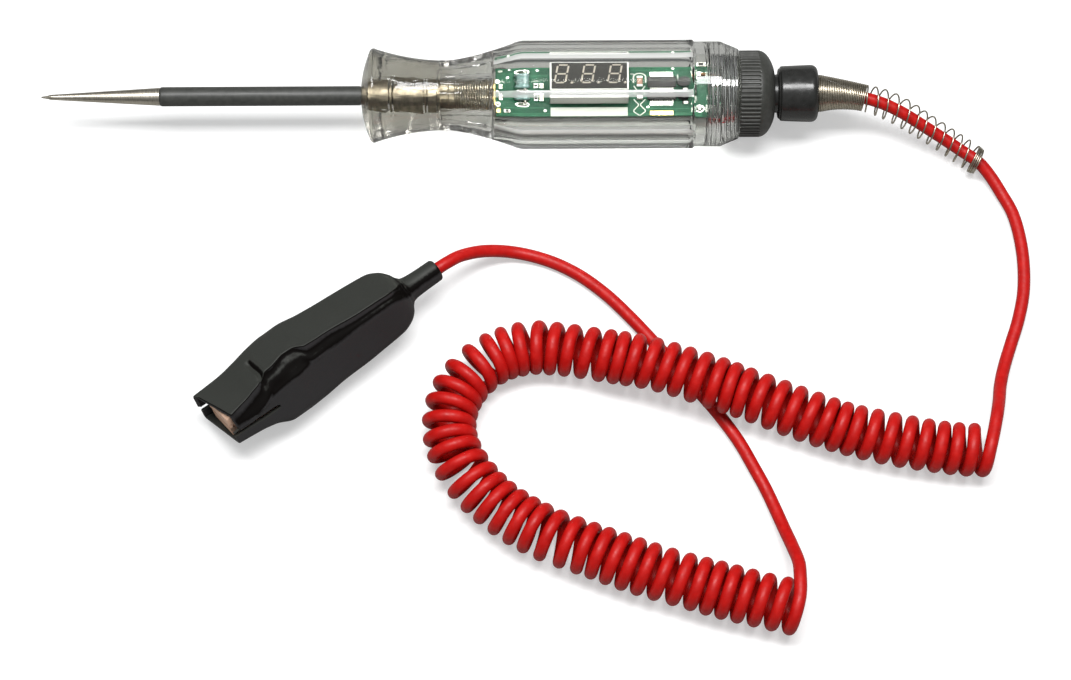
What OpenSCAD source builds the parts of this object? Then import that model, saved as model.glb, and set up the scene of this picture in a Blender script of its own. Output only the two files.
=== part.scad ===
// Digital circuit tester: clear screwdriver-style handle with a three-digit
// display inside, a steel probe needle, and a curly lead with a booted spring clip.
// Units are millimetres. The tester lies along X with the needle towards -X,
// its rear end towards +X and the floor at z = 0. The origin is below the
// middle of the tester's length.

/* [Probe] */
// Length of the bare needle in front of the sleeve
needle_len = 34.2; // [31:0.2:36]
// Diameter at the thick end of the needle
needle_d = 5.2; // [4.8:0.1:5.4]
// Diameter of the ground point
point_d = 1.2; // [0.8:0.1:1.6]
// Diameter of the steel shank inside the sleeve
shank_d = 3.6; // [3:0.1:4]
// Outer diameter of the insulating sleeve
sleeve_d = 5.6; // [5.5:0.1:5.9]

/* [Handle] */
// Diameter over the ridges of the clear body
body_d = 31.1; // [30.8:0.1:31.4]
// Distance across two opposite flats
flats_d = 29.7; // [29.4:0.1:29.8]
// Diameter of the round band behind the flats, which the handle stands on
band_d = 30.2; // [30.1:0.1:30.4]
// Smallest diameter of the neck
neck_d = 20; // [19:0.1:21]
// Diameter of the flared front end
flare_d = 27.2; // [26:0.1:28.4]
// Diameter of the cavity that holds the board
cavity_d = 23.2; // [23:0.1:24.4]
// Corner radius at the rear end of each flat
flat_corner_r = 2.3; // [1.5:0.1:3]

/* [Rear end] */
// Diameter of the ribbed screw cap
cap_d = 24.9; // [24:0.1:25.8]
// Number of lengthwise ribs on the cap
cap_ribs = 60; // [48:4:72]
// Diameter of the cord bushing at its rear end
bushing_d = 16.4; // [15.8:0.1:17]
// Wire diameter of the strain relief spring
spring_wire_d = 0.5; // [0.4:0.1:0.8]

/* [Board] */
// Length of the circuit board
board_len = 59.2; // [58.6:0.1:59.4]
// Width of the circuit board
board_w = 16.2; // [16:0.1:16.4]
// Thickness of the circuit board
board_t = 1.6; // [1.2:0.1:1.8]
// Roll of the board about the long axis, in degrees
board_roll = 12.5; // [4:0.5:14]
// Length of the display housing
display_len = 22.5; // [22:0.1:23]
// Width of the display housing
display_w = 10; // [9.6:0.1:10.4]
// Height of the display housing
display_h = 6; // [5.6:0.1:6.2]

/* [Cord and clip] */
// Diameter of the cord
cord_d = 3.6; // [3.4:0.1:3.6]
// Outer diameter of the curly coil where it starts
coil_d = 15.2; // [15:0.1:15.4]
// Outer diameter of the curly coil where it ends
coil_end_d = 16; // [15.6:0.1:16.2]
// Plate thickness of the clip's jaws
jaw_t = 0.8; // [0.6:0.1:0.9]
// Width of the upper jaw
jaw_w = 12.4; // [12:0.1:12.6]
// Wall of the soft boot over the clip
boot_wall = 1.1; // [0.9:0.1:1.2]

/* [Hidden] */

eps = 0.01;
x_tip = -111.7;                  // needle point
x_end = 111.7;                   // rear face of the bushing
x_front = -19.6;                 // middle of the handle's front face
x_sleeve = x_tip + needle_len;   // front of the sleeve
x_wall = 18.3;                   // front wall of the cavity
x_thread = 79.5;                 // start of the internal thread
x_rear = 89;                     // rear face of the handle
axis_z = band_d / 2;             // the round band stands on the floor
body_r = body_d / 2;
neck_r = neck_d / 2;
flare_r = flare_d / 2;
cavity_r = cavity_d / 2;
cap_r = cap_d / 2;
x_board = 20.2;                  // front edge of the board
board_z = 1.4;                   // board's top face above the axis
board_y = -7.1;                  // near edge of the board
face_z = board_z + display_h;    // display's face above the axis
x_display = 34.8;

// ---------- helpers ----------
module on_axis() { translate([0, 0, axis_z]) children(); }
module on_board() { on_axis() rotate([board_roll, 0, 0]) children(); }
// turns a profile drawn as [x along, radius] about the tester's axis
module turned(profile, sides = 96) {
    on_axis() rotate([0, 90, 0])
        rotate_extrude($fn = sides)
            polygon([for (p = profile) [p[1], p[0]]]);
}
// straight rod along X
module rod(x0, x1, r, sides = 64) {
    translate([x0, 0, 0]) rotate([0, 90, 0]) cylinder(h = x1 - x0, r = r, $fn = sides);
}

function unit(v) = v / norm(v);
// smooth curve through the points P, at parameter t from 0 to len(P) - 1
function at(P, t) =
    let (n = len(P) - 1, i = min(floor(t), n - 1), u = t - i,
         b = P[i], c = P[i + 1],
         a = i > 0 ? P[i - 1] : 2 * b - c,
         d = i < n - 1 ? P[i + 2] : 2 * c - b)
    0.5 * (2 * b + (c - a) * u + (2 * a - 5 * b + 4 * c - d) * u * u
           + (3 * b - a - 3 * c + d) * u * u * u);
function along(P, t) =
    let (n = len(P) - 1, h = 0.02)
    unit(at(P, min(t + h, n)) - at(P, max(t - h, 0)));
function side_of(T) = unit(cross([0, 0, 1], T));
// ring of a tube: centre c, direction T, radius r, first corner straight down
function ring(c, T, r, sides) =
    let (N = side_of(T), B = cross(T, N))
    [for (k = [0 : sides - 1]) let (a = -90 + 360 * k / sides) c + r * (cos(a) * N + sin(a) * B)];
// closed solid through a list of rings that all have the same number of corners
module skin(rings) {
    n = len(rings);
    s = len(rings[0]);
    polyhedron(
        points = [for (r = rings) for (p = r) p],
        faces = concat(
            [[for (k = [0 : s - 1]) k]],
            [for (i = [0 : n - 2]) for (k = [0 : s - 1]) let (a = i * s + k, b = i * s + (k + 1) % s)
                for (f = [[a, a + s, b], [b, a + s, b + s]]) f],
            [[for (k = [s - 1 : -1 : 0]) (n - 1) * s + k]]),
        convexity = 10);
}
// closed solid between an outer and an inner list of rings, open at both ends like a pipe
module hollow_skin(outer, inner) {
    n = len(outer);
    s = len(outer[0]);
    o = n * s;
    polyhedron(
        points = concat([for (r = outer) for (p = r) p], [for (r = inner) for (p = r) p]),
        faces = concat(
            [for (i = [0 : n - 2]) for (k = [0 : s - 1]) let (a = i * s + k, b = i * s + (k + 1) % s)
                for (f = [[a, a + s, b], [b, a + s, b + s]]) f],
            [for (i = [0 : n - 2]) for (k = [0 : s - 1]) let (a = o + i * s + k, b = o + i * s + (k + 1) % s)
                for (f = [[a, b, a + s], [b, b + s, a + s]]) f],
            [for (k = [0 : s - 1]) let (a = k, b = (k + 1) % s) for (f = [[a, b, o + a], [b, o + b, o + a]]) f],
            [for (k = [0 : s - 1]) let (a = (n - 1) * s + k, b = (n - 1) * s + (k + 1) % s)
                for (f = [[a, o + a, b], [b, o + a, o + b]]) f]),
        convexity = 8);
}
module cord_tube(P, r, rings, sides = 8) {
    n = len(P) - 1;
    skin([for (i = [0 : rings]) let (t = n * i / rings) ring(at(P, t), along(P, t), r, sides)]);
}

// ---------- routes, in the order of the cord ----------
// cord inside the cap, bushing and spring, then down to the floor and on to the coil
spring_route = [[107.5, 0, 15.1], [111.6, 0, 15.1], [115.8, -0.1, 15.1], [120.6, -0.6, 15.05],
                [125.5, -1.5, 14.9], [131, -2.9, 13.9],
                [136.5, -5, 12.2], [142, -7.6, 9.9], [148, -10.6, 7.4], [153.5, -13.8, 5.6],
                [158.5, -17.2, 4.7]];
lead_route = [[158.5, -17.2, 4.7], [162, -21, 3.1], [165, -26, 2],
              [167.8, -32, 1.8], [169.4, -39.5, 1.8], [170, -48, 1.8], [169.4, -57, 1.8],
              [167.4, -65.5, 1.8], [164.8, -73, 1.8], [162.4, -80, 2.6], [160.6, -86.5, 4.9],
              [159.4, -92.5, 8.4], [158, -98.4, 11.9], [155.8, -103.6, 13.3], [154, -107, 13]];
coil_route = [[156, -107.2], [145, -106.4], [131, -104], [117, -100.6], [104, -96], [90, -91],
              [76, -86.4], [62, -81.8], [48, -78.4], [37, -76.2], [28.5, -75.8], [20, -78.2],
              [13, -83.2], [8, -90.2], [6.2, -98.8], [7.8, -107], [12.6, -115.2], [20.8, -123.4],
              [32, -130.4], [46, -136], [60, -141.2], [75, -145.8], [88, -149.4], [101, -152.6]];
tail_route = [[100, -152, 13.4], [101.6, -146, 13.9], [101.6, -141, 11.8], [100.4, -135, 7.6],
              [98.6, -128.6, 4], [96.4, -122, 2.2], [94, -116, 1.8], [90.8, -109.4, 1.8],
              [87, -102, 1.8], [82, -94.4, 1.8], [76.6, -87.4, 1.8], [71, -80.6, 1.8],
              [64, -72, 1.8], [57, -63.8, 1.8], [50, -56.6, 1.8], [42, -50.4, 1.8],
              [33, -46, 1.8], [24, -44.2, 3], [16, -45.4, 6.6],
              [9.6, -48.4, 10.4], [5.8, -51.1, 12], [2.6, -53.5, 12.4], [-3.2, -57.9, 12.4], [-8.8, -62.1, 12.4]];
// height of the coil's axis: on the floor, and up over the tail that runs under it
hump_h = 3.8;
hump_at = 6.35;
hump_w = 2.6;
function coil_r(t) = (coil_d + (coil_end_d - coil_d) * t / (len(coil_route) - 1)) / 2;
function hump(t) = abs(t - hump_at) < hump_w ? hump_h * pow(cos(90 * (t - hump_at) / hump_w), 2) : 0;
coil_axis = [for (i = [0 : len(coil_route) - 1]) [coil_route[i][0], coil_route[i][1], coil_r(i) + hump(i)]];

// ---------- probe ----------
module probe_needle() {
    color("#8d8780") union() {
        turned([[x_tip, 0], [x_tip + 0.3, 0.35], [x_tip + 2.2, point_d / 2],
                [x_tip + 2.6, point_d / 2 + 0.12], [x_sleeve - 1, needle_d / 2 - 0.05],
                [x_sleeve - eps, needle_d / 2], [x_sleeve - eps, 0]]);
        on_axis() rod(x_sleeve - 0.2, -4, shank_d / 2);
    }
}
module probe_sleeve() {
    color("#2b2c2b")
        turned([[x_sleeve, shank_d / 2 + 0.05], [x_sleeve, sleeve_d / 2 - 0.4], [x_sleeve + 0.12, sleeve_d / 2 - 0.14],
                [x_sleeve + 0.4, sleeve_d / 2], [-19.7, sleeve_d / 2], [-19.7, sleeve_d / 2 - 0.3],
                [-17.4, sleeve_d / 2 - 0.3], [-17.4, shank_d / 2 + 0.05]]);
}
// turned metal insert that the handle is moulded over
module probe_ferrule() {
    color("#8a8070")
        turned([[-17.2, shank_d / 2 + 0.05], [-17.2, 3.1], [-12.3, 3.1], [-12.3, 2.5], [-11.9, 2.5], [-11.9, 3.3],
                [-11.3, 3.3], [-11.3, 2.5], [-10.7, 2.5], [-10.7, 3.35], [-1.9, 3.35], [-1.9, 2.6],
                [-1.4, 2.6], [-1.4, 3.3], [-0.9, 3.3], [-0.9, 2.6], [-0.4, 2.6], [-0.4, 3.35],
                [2.2, 3.35], [2.2, 0.9], [-3.95, 0.9], [-3.95, shank_d / 2 + 0.05]]);
}
// stud screwed into the insert; its head carries the spring
module contact_stud() {
    color("#6f675c")
        turned([[-3.6, 0], [-3.6, 0.85], [2.3, 0.85], [2.3, 4.5], [5.6, 4.5], [6, 4.35], [7.6, 4.35],
                [7.6, 3.6], [9.6, 3.6], [9.6, 0]]);
}
// fine compression spring between the stud and the board
module contact_spring() {
    turns = 14;
    x0 = 7.95;
    x1 = 18.1;
    steps = 12;
    color("#a89f8e") on_axis()
        skin([for (i = [0 : turns * steps])
            let (a = 360 * i / steps, x = x0 + (x1 - x0) * i / (turns * steps),
                 rad = 4.25, w = 0.26,
                 T = unit([(x1 - x0) / turns, -2 * PI * rad * sin(a), 2 * PI * rad * cos(a)]),
                 N = [0, cos(a), sin(a)], B = cross(T, N))
            [for (k = [0 : 4]) [x, rad * cos(a), rad * sin(a)] + w * (cos(72 * k) * N + sin(72 * k) * B)]]);
}
// plate on the board's front edge that the spring presses on
module board_contact() {
    color("#c9a24c") on_axis() union() {
        rod(18.4, 19.2, 4.6);
        rotate([board_roll, 0, 0]) translate([19, -2, board_z - board_t - 0.5]) cube([4.6, 4, 0.5]);
    }
}

// ---------- handle ----------
function flare_curve(x) = neck_r + (flare_r - neck_r) * pow((5.5 - x) / 21.4, 2);
function rise_curve(x) = neck_r + (body_r - neck_r) * pow((x - 5.5) / 20.9, 1.42);
handle_profile = concat(
    [for (r = [2.85, 5, 7.5, 10, 12]) [x_front + 3 * pow(r / flare_r, 2), r]],
    [[-16.75, flare_r - 0.45], [-16.35, flare_r - 0.12], [-15.9, flare_r]],
    [for (x = [-15 : 2 : 5]) [x, flare_curve(x)]],
    [for (x = [6 : 2 : 24]) [x, rise_curve(x)]],
    [[25.6, body_r - 0.3], [26.6, body_r - 0.06], [27.6, body_r],
     [75.9, body_r], [76.2, band_d / 2], [83.6, band_d / 2], [84.6, band_d / 2 - 0.4],
     [88.6, 13.05], [x_rear, 12.75]],
    [[x_rear, cavity_r + 0.5], [88.4, cavity_r + 0.25], [x_thread, cavity_r + 0.25], [x_thread, cavity_r], [x_wall, cavity_r],
     [x_wall, 4.85], [2.25, 4.85], [2.25, 3.4], [-17.3, 3.4], [-17.3, 2.85]]);
// one flat, drawn in plan; its rear corners are rounded and its front end runs out over the neck
module flat_cutter() {
    x1 = 76.4;
    r = flat_corner_r;
    half = 5.2;
    translate([0, 0, flats_d / 2]) linear_extrude(4) polygon(concat(
        [[8, half], [8, -half]],
        [for (a = [-90 : 15 : 0]) [x1 - r + r * cos(a), -half + r + r * sin(a)]],
        [for (a = [0 : 15 : 90]) [x1 - r + r * cos(a), half - r + r * sin(a)]]));
}
module handle_body() {
    color("#d5d8d2", 0.35) difference() {
        turned(handle_profile, 128);
        for (k = [0 : 7]) on_axis() rotate([45 * k, 0, 0]) flat_cutter();
    }
}

// ---------- board and what stands on it ----------
module circuit_board() {
    color("#1f7a4a") on_board() translate([x_board, board_y, board_z - board_t])
        cube([board_len, board_w, board_t]);
}
display_y = -1.6;
module display_housing() {
    color("#e8e6dd") on_board() translate([x_display, display_y, board_z]) difference() {
        cube([display_len, display_w, display_h]);
        translate([0.8, 0.8, -1]) cube([display_len - 1.6, display_w - 1.6, 2]);
    }
}
// one seven-segment digit, slanted, drawn in the plane of the display's face
module digit() {
    h = 6.3;
    w = 3.1;
    s = 0.5;
    slant = 0.16;
    multmatrix([[1, slant, 0, 0], [0, 1, 0, 0], [0, 0, 1, 0]]) linear_extrude(0.15) {
        for (y = [0, h / 2, h]) translate([-w / 2 + 0.35, y - s / 2]) square([w - 0.7, s]);
        for (x = [-w / 2, w / 2], y = [0.35, h / 2 + 0.35]) translate([x - s / 2, y]) square([s, h / 2 - 0.7]);
        translate([w / 2 + 1.9, 0]) circle(0.42, $fn = 24);
    }
}
module display_segments() {
    color("#cdbfae") on_board()
        for (i = [0 : 2]) translate([x_display + display_len / 2 + (i - 1) * 7.6 - 0.8, display_y + 2.4, face_z])
            digit();
}
module display_pins() {
    color("#b9b7b0") on_board()
        for (i = [0 : 5], s = [0.9, display_w - 1.3]) if (i > 0 || s < 2)
            translate([x_display + display_len / 2 + (i - 2.5) * 2.54 - 0.25, display_y + s, board_z - board_t - 1.2]) cube([0.5, 0.4, board_t + 1.2 - 0.02]);
}
module axial_resistor() {
    on_board() translate([27.8, 2.5, board_z + 1.3]) rotate([90, 0, 0]) {
        color("#7fb4cf") union() {
            translate([0, 0, -2.6]) cylinder(h = 5.2, r = 1, $fn = 40);
            for (z = [-3.1, 1.6]) translate([0, 0, z]) cylinder(h = 1.5, r = 1.2, $fn = 40);
        }
        color("#b9b7b0") for (z = [-4, 3.1]) translate([0, 0, z]) cylinder(h = 0.9, r = 0.3, $fn = 24);
    }
}
module ceramic_capacitor() {
    color("#7a4a34") on_board() translate([59.8, 0.8, board_z]) {
        cube([1.6, 2.8, 1.4]);
        color("#d8d6cf") for (y = [-0.72, 2.82]) translate([0.1, y, 0]) cube([1.4, 0.7, 1.2]);
    }
}
chip_x = 62.8;
chip_y = -0.4;
module controller_chip() {
    color("#343331") on_board() translate([chip_x, chip_y, board_z + 0.1]) cube([8.2, 4.4, 1.6]);
}
module chip_leads() {
    color("#c4c2bb") on_board() for (i = [0 : 13], s = [0, 1])
        translate([chip_x + 0.9 + i * 0.48, s == 0 ? chip_y - 1.22 : chip_y + 4.42, board_z]) union() {
            cube([0.24, 1.2, 0.2]);
            translate([0, s == 0 ? 1 : 0, 0.2]) cube([0.24, 0.2, 0.7]);
        }
}
chip_res = [[22.4, 0.7, 90], [30.8, 0.6, 90], [32.4, 0.5, 90], [73.8, -1.4, 0], [78, 8.4, 0], [24, -5, 0]];
module chip_resistors() {
    color("#d9d7d0") on_board() for (c = chip_res)
        translate([c[0], c[1], board_z]) rotate([0, 0, c[2]]) translate([-1, -0.6, 0]) cube([2, 1.2, 0.55]);
}
module round_inductor() {
    color("#383634") on_board() translate([73.2, 1.75, board_z]) union() {
        cylinder(h = 1, r = 1.95, $fn = 64);
        cylinder(h = 2.6, r = 1.5, $fn = 64);
        translate([0, 0, 2.2]) cylinder(h = 0.7, r = 1.95, $fn = 64);
    }
}
joints_at = [[21.2, -1.9], [21.2, 3], [27.8, 6.9], [27.8, -1.9], [77.6, -4.6], [77.6, 5.2]];
module solder_joints() {
    color("#c9c8c2") on_board() for (c = joints_at)
        translate([c[0], c[1], board_z]) cylinder(h = 0.7, r1 = 0.85, r2 = 0.35, $fn = 32);
}
// bare end of the cord's conductor, soldered to the rear of the board
module ground_wire() {
    color("#c07a4a") on_board() skin([
        for (p = [[85, 0, 0], [83.6, 0.6, 0.1], [82.4, 1.8, 0.7], [81.2, 3.4, 1.9], [80.1, 4.6, 2.6], [79, 5.1, 2.7], [77.9, 5.2, 2.3]])
            ring(p, [-1, 0.001, 0], 0.45, 8)]);
}

// ---------- rear end ----------
// sleeve crimped on the cord inside the cap, so that a pull can't draw it out
module cord_crimp() {
    color("#a8a69e") turned([[87.2, cord_d / 2 + 0.02], [87.2, 3.4], [88.2, 3.6], [89.6, 3.6], [90.6, 3.4], [90.6, cord_d / 2 + 0.02]], 48);
}
module end_cap() {
    color("#30312f") difference() {
        turned([[82.6, 9.4], [82.6, 11.4], [83, 11.7], [88.9, 11.7], [88.9, 11.9], [89.02, 11.9], [89.02, cap_r - 0.3], [89.3, cap_r],
                [94.8, cap_r], [95.6, cap_r - 0.15], [96.6, cap_r - 0.7], [97.6, cap_r - 1.8], [98.4, cap_r - 3.1],
                [99, cap_r - 4.6], [99.3, cap_r - 6.2], [99.35, 5.65], [95.6, 5.65], [95.6, 9.4]], 120);
        for (k = [0 : cap_ribs - 1]) on_axis() rotate([360 * k / cap_ribs, 0, 0])
            translate([89.9, -0.2, cap_r - 0.35]) cube([5, 0.4, 2]);
    }
}
module cord_bushing() {
    color("#1c1c1d")
        turned([[91.4, cord_d / 2 + 0.05], [91.4, 6.8], [91.8, 7.2], [95.2, 7.2], [95.5, 6.9], [95.5, 5.6], [100.4, 5.6], [100.4, bushing_d / 2 - 1],
                [100.8, bushing_d / 2 - 0.5], [101.6, bushing_d / 2 - 0.3], [109.6, bushing_d / 2], [110.6, bushing_d / 2 - 0.15],
                [111.3, bushing_d / 2 - 0.6], [x_end, bushing_d / 2 - 1.3], [x_end, 5.6], [107.4, 5.6], [107.4, cord_d / 2 + 0.05]], 96);
}
// close-wound waisted part, about a dozen open turns, and two closed turns at the end
closed_end = 4;                  // where the close-wound part ends on the route
function closed_r(t) = t < 1 ? 5.4 : 4.15 + 1.25 * pow((closed_end - t) / 3, 1.5);
module strain_relief_spring() {
    w = spring_wire_d / 2;
    turns = 12;
    steps = 12;
    n = len(spring_route) - 1;
    t0 = closed_end - 0.06;
    function sp(i) = let (f = i / (turns * steps), t = t0 + (n - t0) * f, c = at(spring_route, t), T = along(spring_route, t),
                          N = side_of(T), B = cross(T, N), a = 360 * i / steps,
                          r = 3.75 + 0.45 * sin(180 * f) * f)
        c + r * (cos(a) * N + sin(a) * B);
    color("#9a9180") union() {
        hollow_skin([for (i = [0 : 12]) let (t = closed_end * i / 12) ring(at(spring_route, t), along(spring_route, t), closed_r(t), 24)],
                    [for (i = [0 : 12]) let (t = closed_end * i / 12) ring(at(spring_route, t), along(spring_route, t), closed_r(t) - 2 * w, 24)]);
        skin([for (i = [0 : turns * steps]) let (p = sp(i), T = unit(sp(i + 0.5) - sp(i - 0.5)),
                c = at(spring_route, t0 + (n - t0) * i / (turns * steps)),
                N = unit((p - c) - T * ((p - c) * T)), B = cross(T, N))
            [for (k = [0 : 4]) p + w * (cos(72 * k) * N + sin(72 * k) * B)]]);
        let (c = spring_route[n], T = along(spring_route, n))
            translate(c) rotate([0, acos(T[2]), atan2(T[1], T[0])])
                translate([0, 0, -1]) difference() {
                    cylinder(h = 2.2, r = 4.25, $fn = 48);
                    translate([0, 0, -1]) cylinder(h = 5, r = 4.25 - 2 * w, $fn = 48);
                }
    }
}

// ---------- cord ----------
cord_start = [[85, 0, axis_z], [92, 0, axis_z], [100, 0, axis_z], [106, 0, axis_z]];
lead_all = concat(cord_start, [for (i = [0 : len(spring_route) - 2]) spring_route[i]], lead_route);
module cord_lead() {
    color("#d3120d") cord_tube(lead_all, cord_d / 2, 52);
}
module cord_coil() {
    n = len(coil_axis) - 1;
    color("#cf140f") skin([for (i = [0 : 56]) let (t = n * i / 56)
        ring(at(coil_axis, t), along([for (p = coil_axis) [p[0], p[1], 0]], t), coil_r(t), 12)]);
}
module cord_tail() {
    color("#d3120d") cord_tube(tail_route, cord_d / 2, 42);
}

// ---------- clip ----------
// The clip's own frame: the pin at the origin, the jaws towards +X, the handles towards -X
clip_at = [-39.2, -84.9, 12.4];
clip_dir = 216.9;
clip_roll = 28;
module on_clip() { translate(clip_at) rotate([0, 0, clip_dir]) rotate([clip_roll, 0, 0]) children(); }
pin_r = 1.2;

// the boot's section at each station: [x, near side, far side, top, bottom, width and height of the
// near top corner's curve, radius of the other corners, wall]
boot_stations = [[25, 9, -9, 5.4, -4.5, 2.4, 4.6, 1.4, boot_wall], [16, 9, -8.7, 6.5, -5.4, 2.8, 5.2, 1.8, boot_wall],
                 [10.5, 8.9, -8.9, 7.8, -6.8, 3.6, 5.6, 2.2, boot_wall], [5, 9.2, -9.7, 9.6, -10, 5, 5.5, 4, boot_wall],
                 [0, 9.3, -10.3, 10.4, -10.5, 5.2, 5.5, 5, boot_wall], [-5, 8.6, -10.1, 10.2, -10.2, 4.5, 4.5, 4, boot_wall],
                 [-12, 8.1, -8.9, 9.4, -9.2, 3, 3, 3, boot_wall], [-24, 7.8, -8.3, 8.6, -8.2, 2.4, 2.4, 2.4, boot_wall],
                 [-34, 7.5, -8, 8, -7.4, 2, 2, 2.6, boot_wall], [-37.6, 6.7, -7.2, 7, -6.7, 2.8, 2.8, 3, boot_wall],
                 [-39.6, 5.6, -5.8, 5.6, -5.6, 3.4, 3.4, 3.4, boot_wall], [-41, 4.2, -4.2, 4.1, -4.1, 3.4, 3.4, 3.4, 1.4],
                 [-44, 3.5, -3.5, 3.5, -3.5, 3.4, 3.4, 3.4, 1.65], [-52.3, 3.2, -3.2, 3.2, -3.2, 3.1, 3.1, 3.1, 1.4]];
function section(x, yn, yf, zt, zb, cy, cz, r) =
    [for (q = [[1, -1], [1, 1], [-1, 1], [-1, -1]]) for (k = [0 : 3]) let (
        near_top = q == [1, 1], ry = near_top ? cy : r, rz = near_top ? cz : r,
        a = (q == [1, -1] ? -90 : near_top ? 0 : q == [-1, 1] ? 90 : 180) + 30 * k)
    [x, (q[0] > 0 ? yn - ry : yf + ry) + ry * cos(a), (q[1] > 0 ? zt - rz : zb + rz) + rz * sin(a)]];
module clip_boot() {
    n = len(boot_stations);
    outer = [for (s = boot_stations) section(s[0], s[1], s[2], s[3], s[4], s[5], s[6], s[7])];
    inner = [for (i = [0 : n - 1]) let (s = boot_stations[i], w = s[8],
                 x = s[0] + (i == 9 ? 0.9 : i == 10 ? 1.1 : i == 11 ? 1 : 0))
             section(x, s[1] - w, s[2] + w, s[3] - w, s[4] + w, max(s[5] - w, 0.5), max(s[6] - w, 0.5), max(s[7] - w, 0.5))];
    color("#262726") on_clip() difference() {
        hollow_skin([for (i = [n - 1 : -1 : 0]) outer[i]], [for (i = [n - 1 : -1 : 0]) inner[i]]);
        translate([9, -14, -0.3]) cube([18, 28, 0.6]);
        // both lips end on a slant, the lower one a little further out
        translate([22.3, 0, 0]) rotate([0, 0, 12]) translate([0, -15, 0]) cube([7, 30, 9]);
        translate([23.35, 0, -9]) rotate([0, 0, 6.7]) translate([0, -15, 0]) cube([7, 30, 9.1]);
    }
}
// side view of each jaw's plate: outer line from the tip to the end of the handle
upper_line = [[22.2, 3.6], [16, 4.8], [10, 5.5], [5, 6.8], [0, 7.6], [-8, 7.6], [-30.5, 6.5], [-32.5, 5.6]];
lower_line = [[22.2, 3.1], [16, 3.9], [10, 5], [5, 6.6], [0, 7.4], [-8, 7.4], [-31.5, 5.9], [-33.5, 5.4]];
module jaw_plate(line, w) {
    rotate([90, 0, 0]) translate([0, 0, -w / 2]) linear_extrude(w)
        polygon(concat(line, [for (i = [len(line) - 1 : -1 : 0]) line[i] - [0, jaw_t]]));
}
// one side wall of a jaw, with the ear that the pin goes through and teeth along the mouth
module jaw_side(line, y) {
    translate([0, y, 0]) rotate([90, 0, 0]) translate([0, 0, -jaw_t / 2]) linear_extrude(jaw_t) difference() {
        polygon(concat([for (i = [0 : 5]) line[i] - [0, 0.25]],
                       [[-12, line[5][1] - 0.6], [-8, 3.4], [-3.4, 1], [-3, -2.2], [-1.4, -3], [1.4, -3], [3, -2.2], [4, 0.9], [8, 1]],
                       [for (x = [9 : 1.6 : 20.2]) each [[x, 0.2], [x + 0.8, 0.9]]], [[21.6, 0.2], [22.2, 0.4]]));
        circle(pin_r + 0.05, $fn = 48);
    }
}
module jaw_tip(w, h) {
    translate([21.4, -w / 2, 0.3]) cube([0.8, w, h]);
}
module clip_upper_jaw() {
    color("#c98a63") on_clip() union() {
        jaw_plate(upper_line, jaw_w);
        for (s = [-1, 1]) jaw_side(upper_line, s * (jaw_w / 2 - jaw_t / 2));
        jaw_tip(jaw_w, 2.9);
    }
}
lower_w = jaw_w - 2 * jaw_t - 0.5;
module clip_lower_jaw() {
    color("#c98a63") on_clip() union() {
        mirror([0, 0, 1]) {
            jaw_plate(lower_line, lower_w);
            for (s = [-1, 1]) jaw_side(lower_line, s * (lower_w / 2 - jaw_t / 2));
            jaw_tip(lower_w, 2.4);
        }
        // crimp barrel for the cord's end, on a strap from the handle
        translate([-35.9, -1.6, -5.7]) cube([3.7, 3.2, 0.6]);
        translate([-35.9, -1.6, -5.7]) cube([0.7, 3.2, 3.9]);
        difference() {
            rod(-39.2, -35.4, 2.2, 40);
            rod(-40, -35, cord_d / 2 + 0.02, 40);
        }
    }
}
module clip_pin() {
    color("#a9a49a") on_clip() translate([0, 0, 0]) rotate([90, 0, 0]) {
        translate([0, 0, -jaw_w / 2 - 0.6]) cylinder(h = jaw_w + 1.2, r = pin_r, $fn = 48);
        for (z = [-jaw_w / 2 - 0.9, jaw_w / 2 + 0.1]) translate([0, 0, z]) cylinder(h = 0.8, r = 1.9, $fn = 48);
    }
}
// torsion spring round the pin, with one leg on each handle
module clip_spring() {
    color("#8f8b84") on_clip() {
        for (y = [-1.65, -0.55, 0.55, 1.65]) translate([0, y, 0]) rotate([90, 0, 0])
            rotate_extrude($fn = 64) translate([2.2, 0]) circle(0.5, $fn = 24);
        translate([0, 1.1, 0]) rotate([90, 0, 0]) rotate_extrude(angle = 90, $fn = 64) translate([2.2, 0]) circle(0.5, $fn = 24);
        for (m = [0, 1]) mirror([0, 0, m]) translate([-0.6, m == 0 ? 1.65 : -1.65, 2.1]) rotate([0, -72, 0]) cylinder(h = 11.6, r = 0.5, $fn = 24);
    }
}

probe_needle();
probe_sleeve();
probe_ferrule();
contact_stud();
contact_spring();
board_contact();
handle_body();
circuit_board();
display_housing();
display_segments();
display_pins();
axial_resistor();
ceramic_capacitor();
controller_chip();
chip_leads();
chip_resistors();
round_inductor();
solder_joints();
ground_wire();
cord_crimp();
end_cap();
cord_bushing();
strain_relief_spring();
cord_lead();
cord_coil();
cord_tail();
clip_boot();
clip_upper_jaw();
clip_lower_jaw();
clip_pin();
clip_spring();
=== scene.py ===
import math
import bpy
import numpy as np
from mathutils import Vector, Matrix


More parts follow.
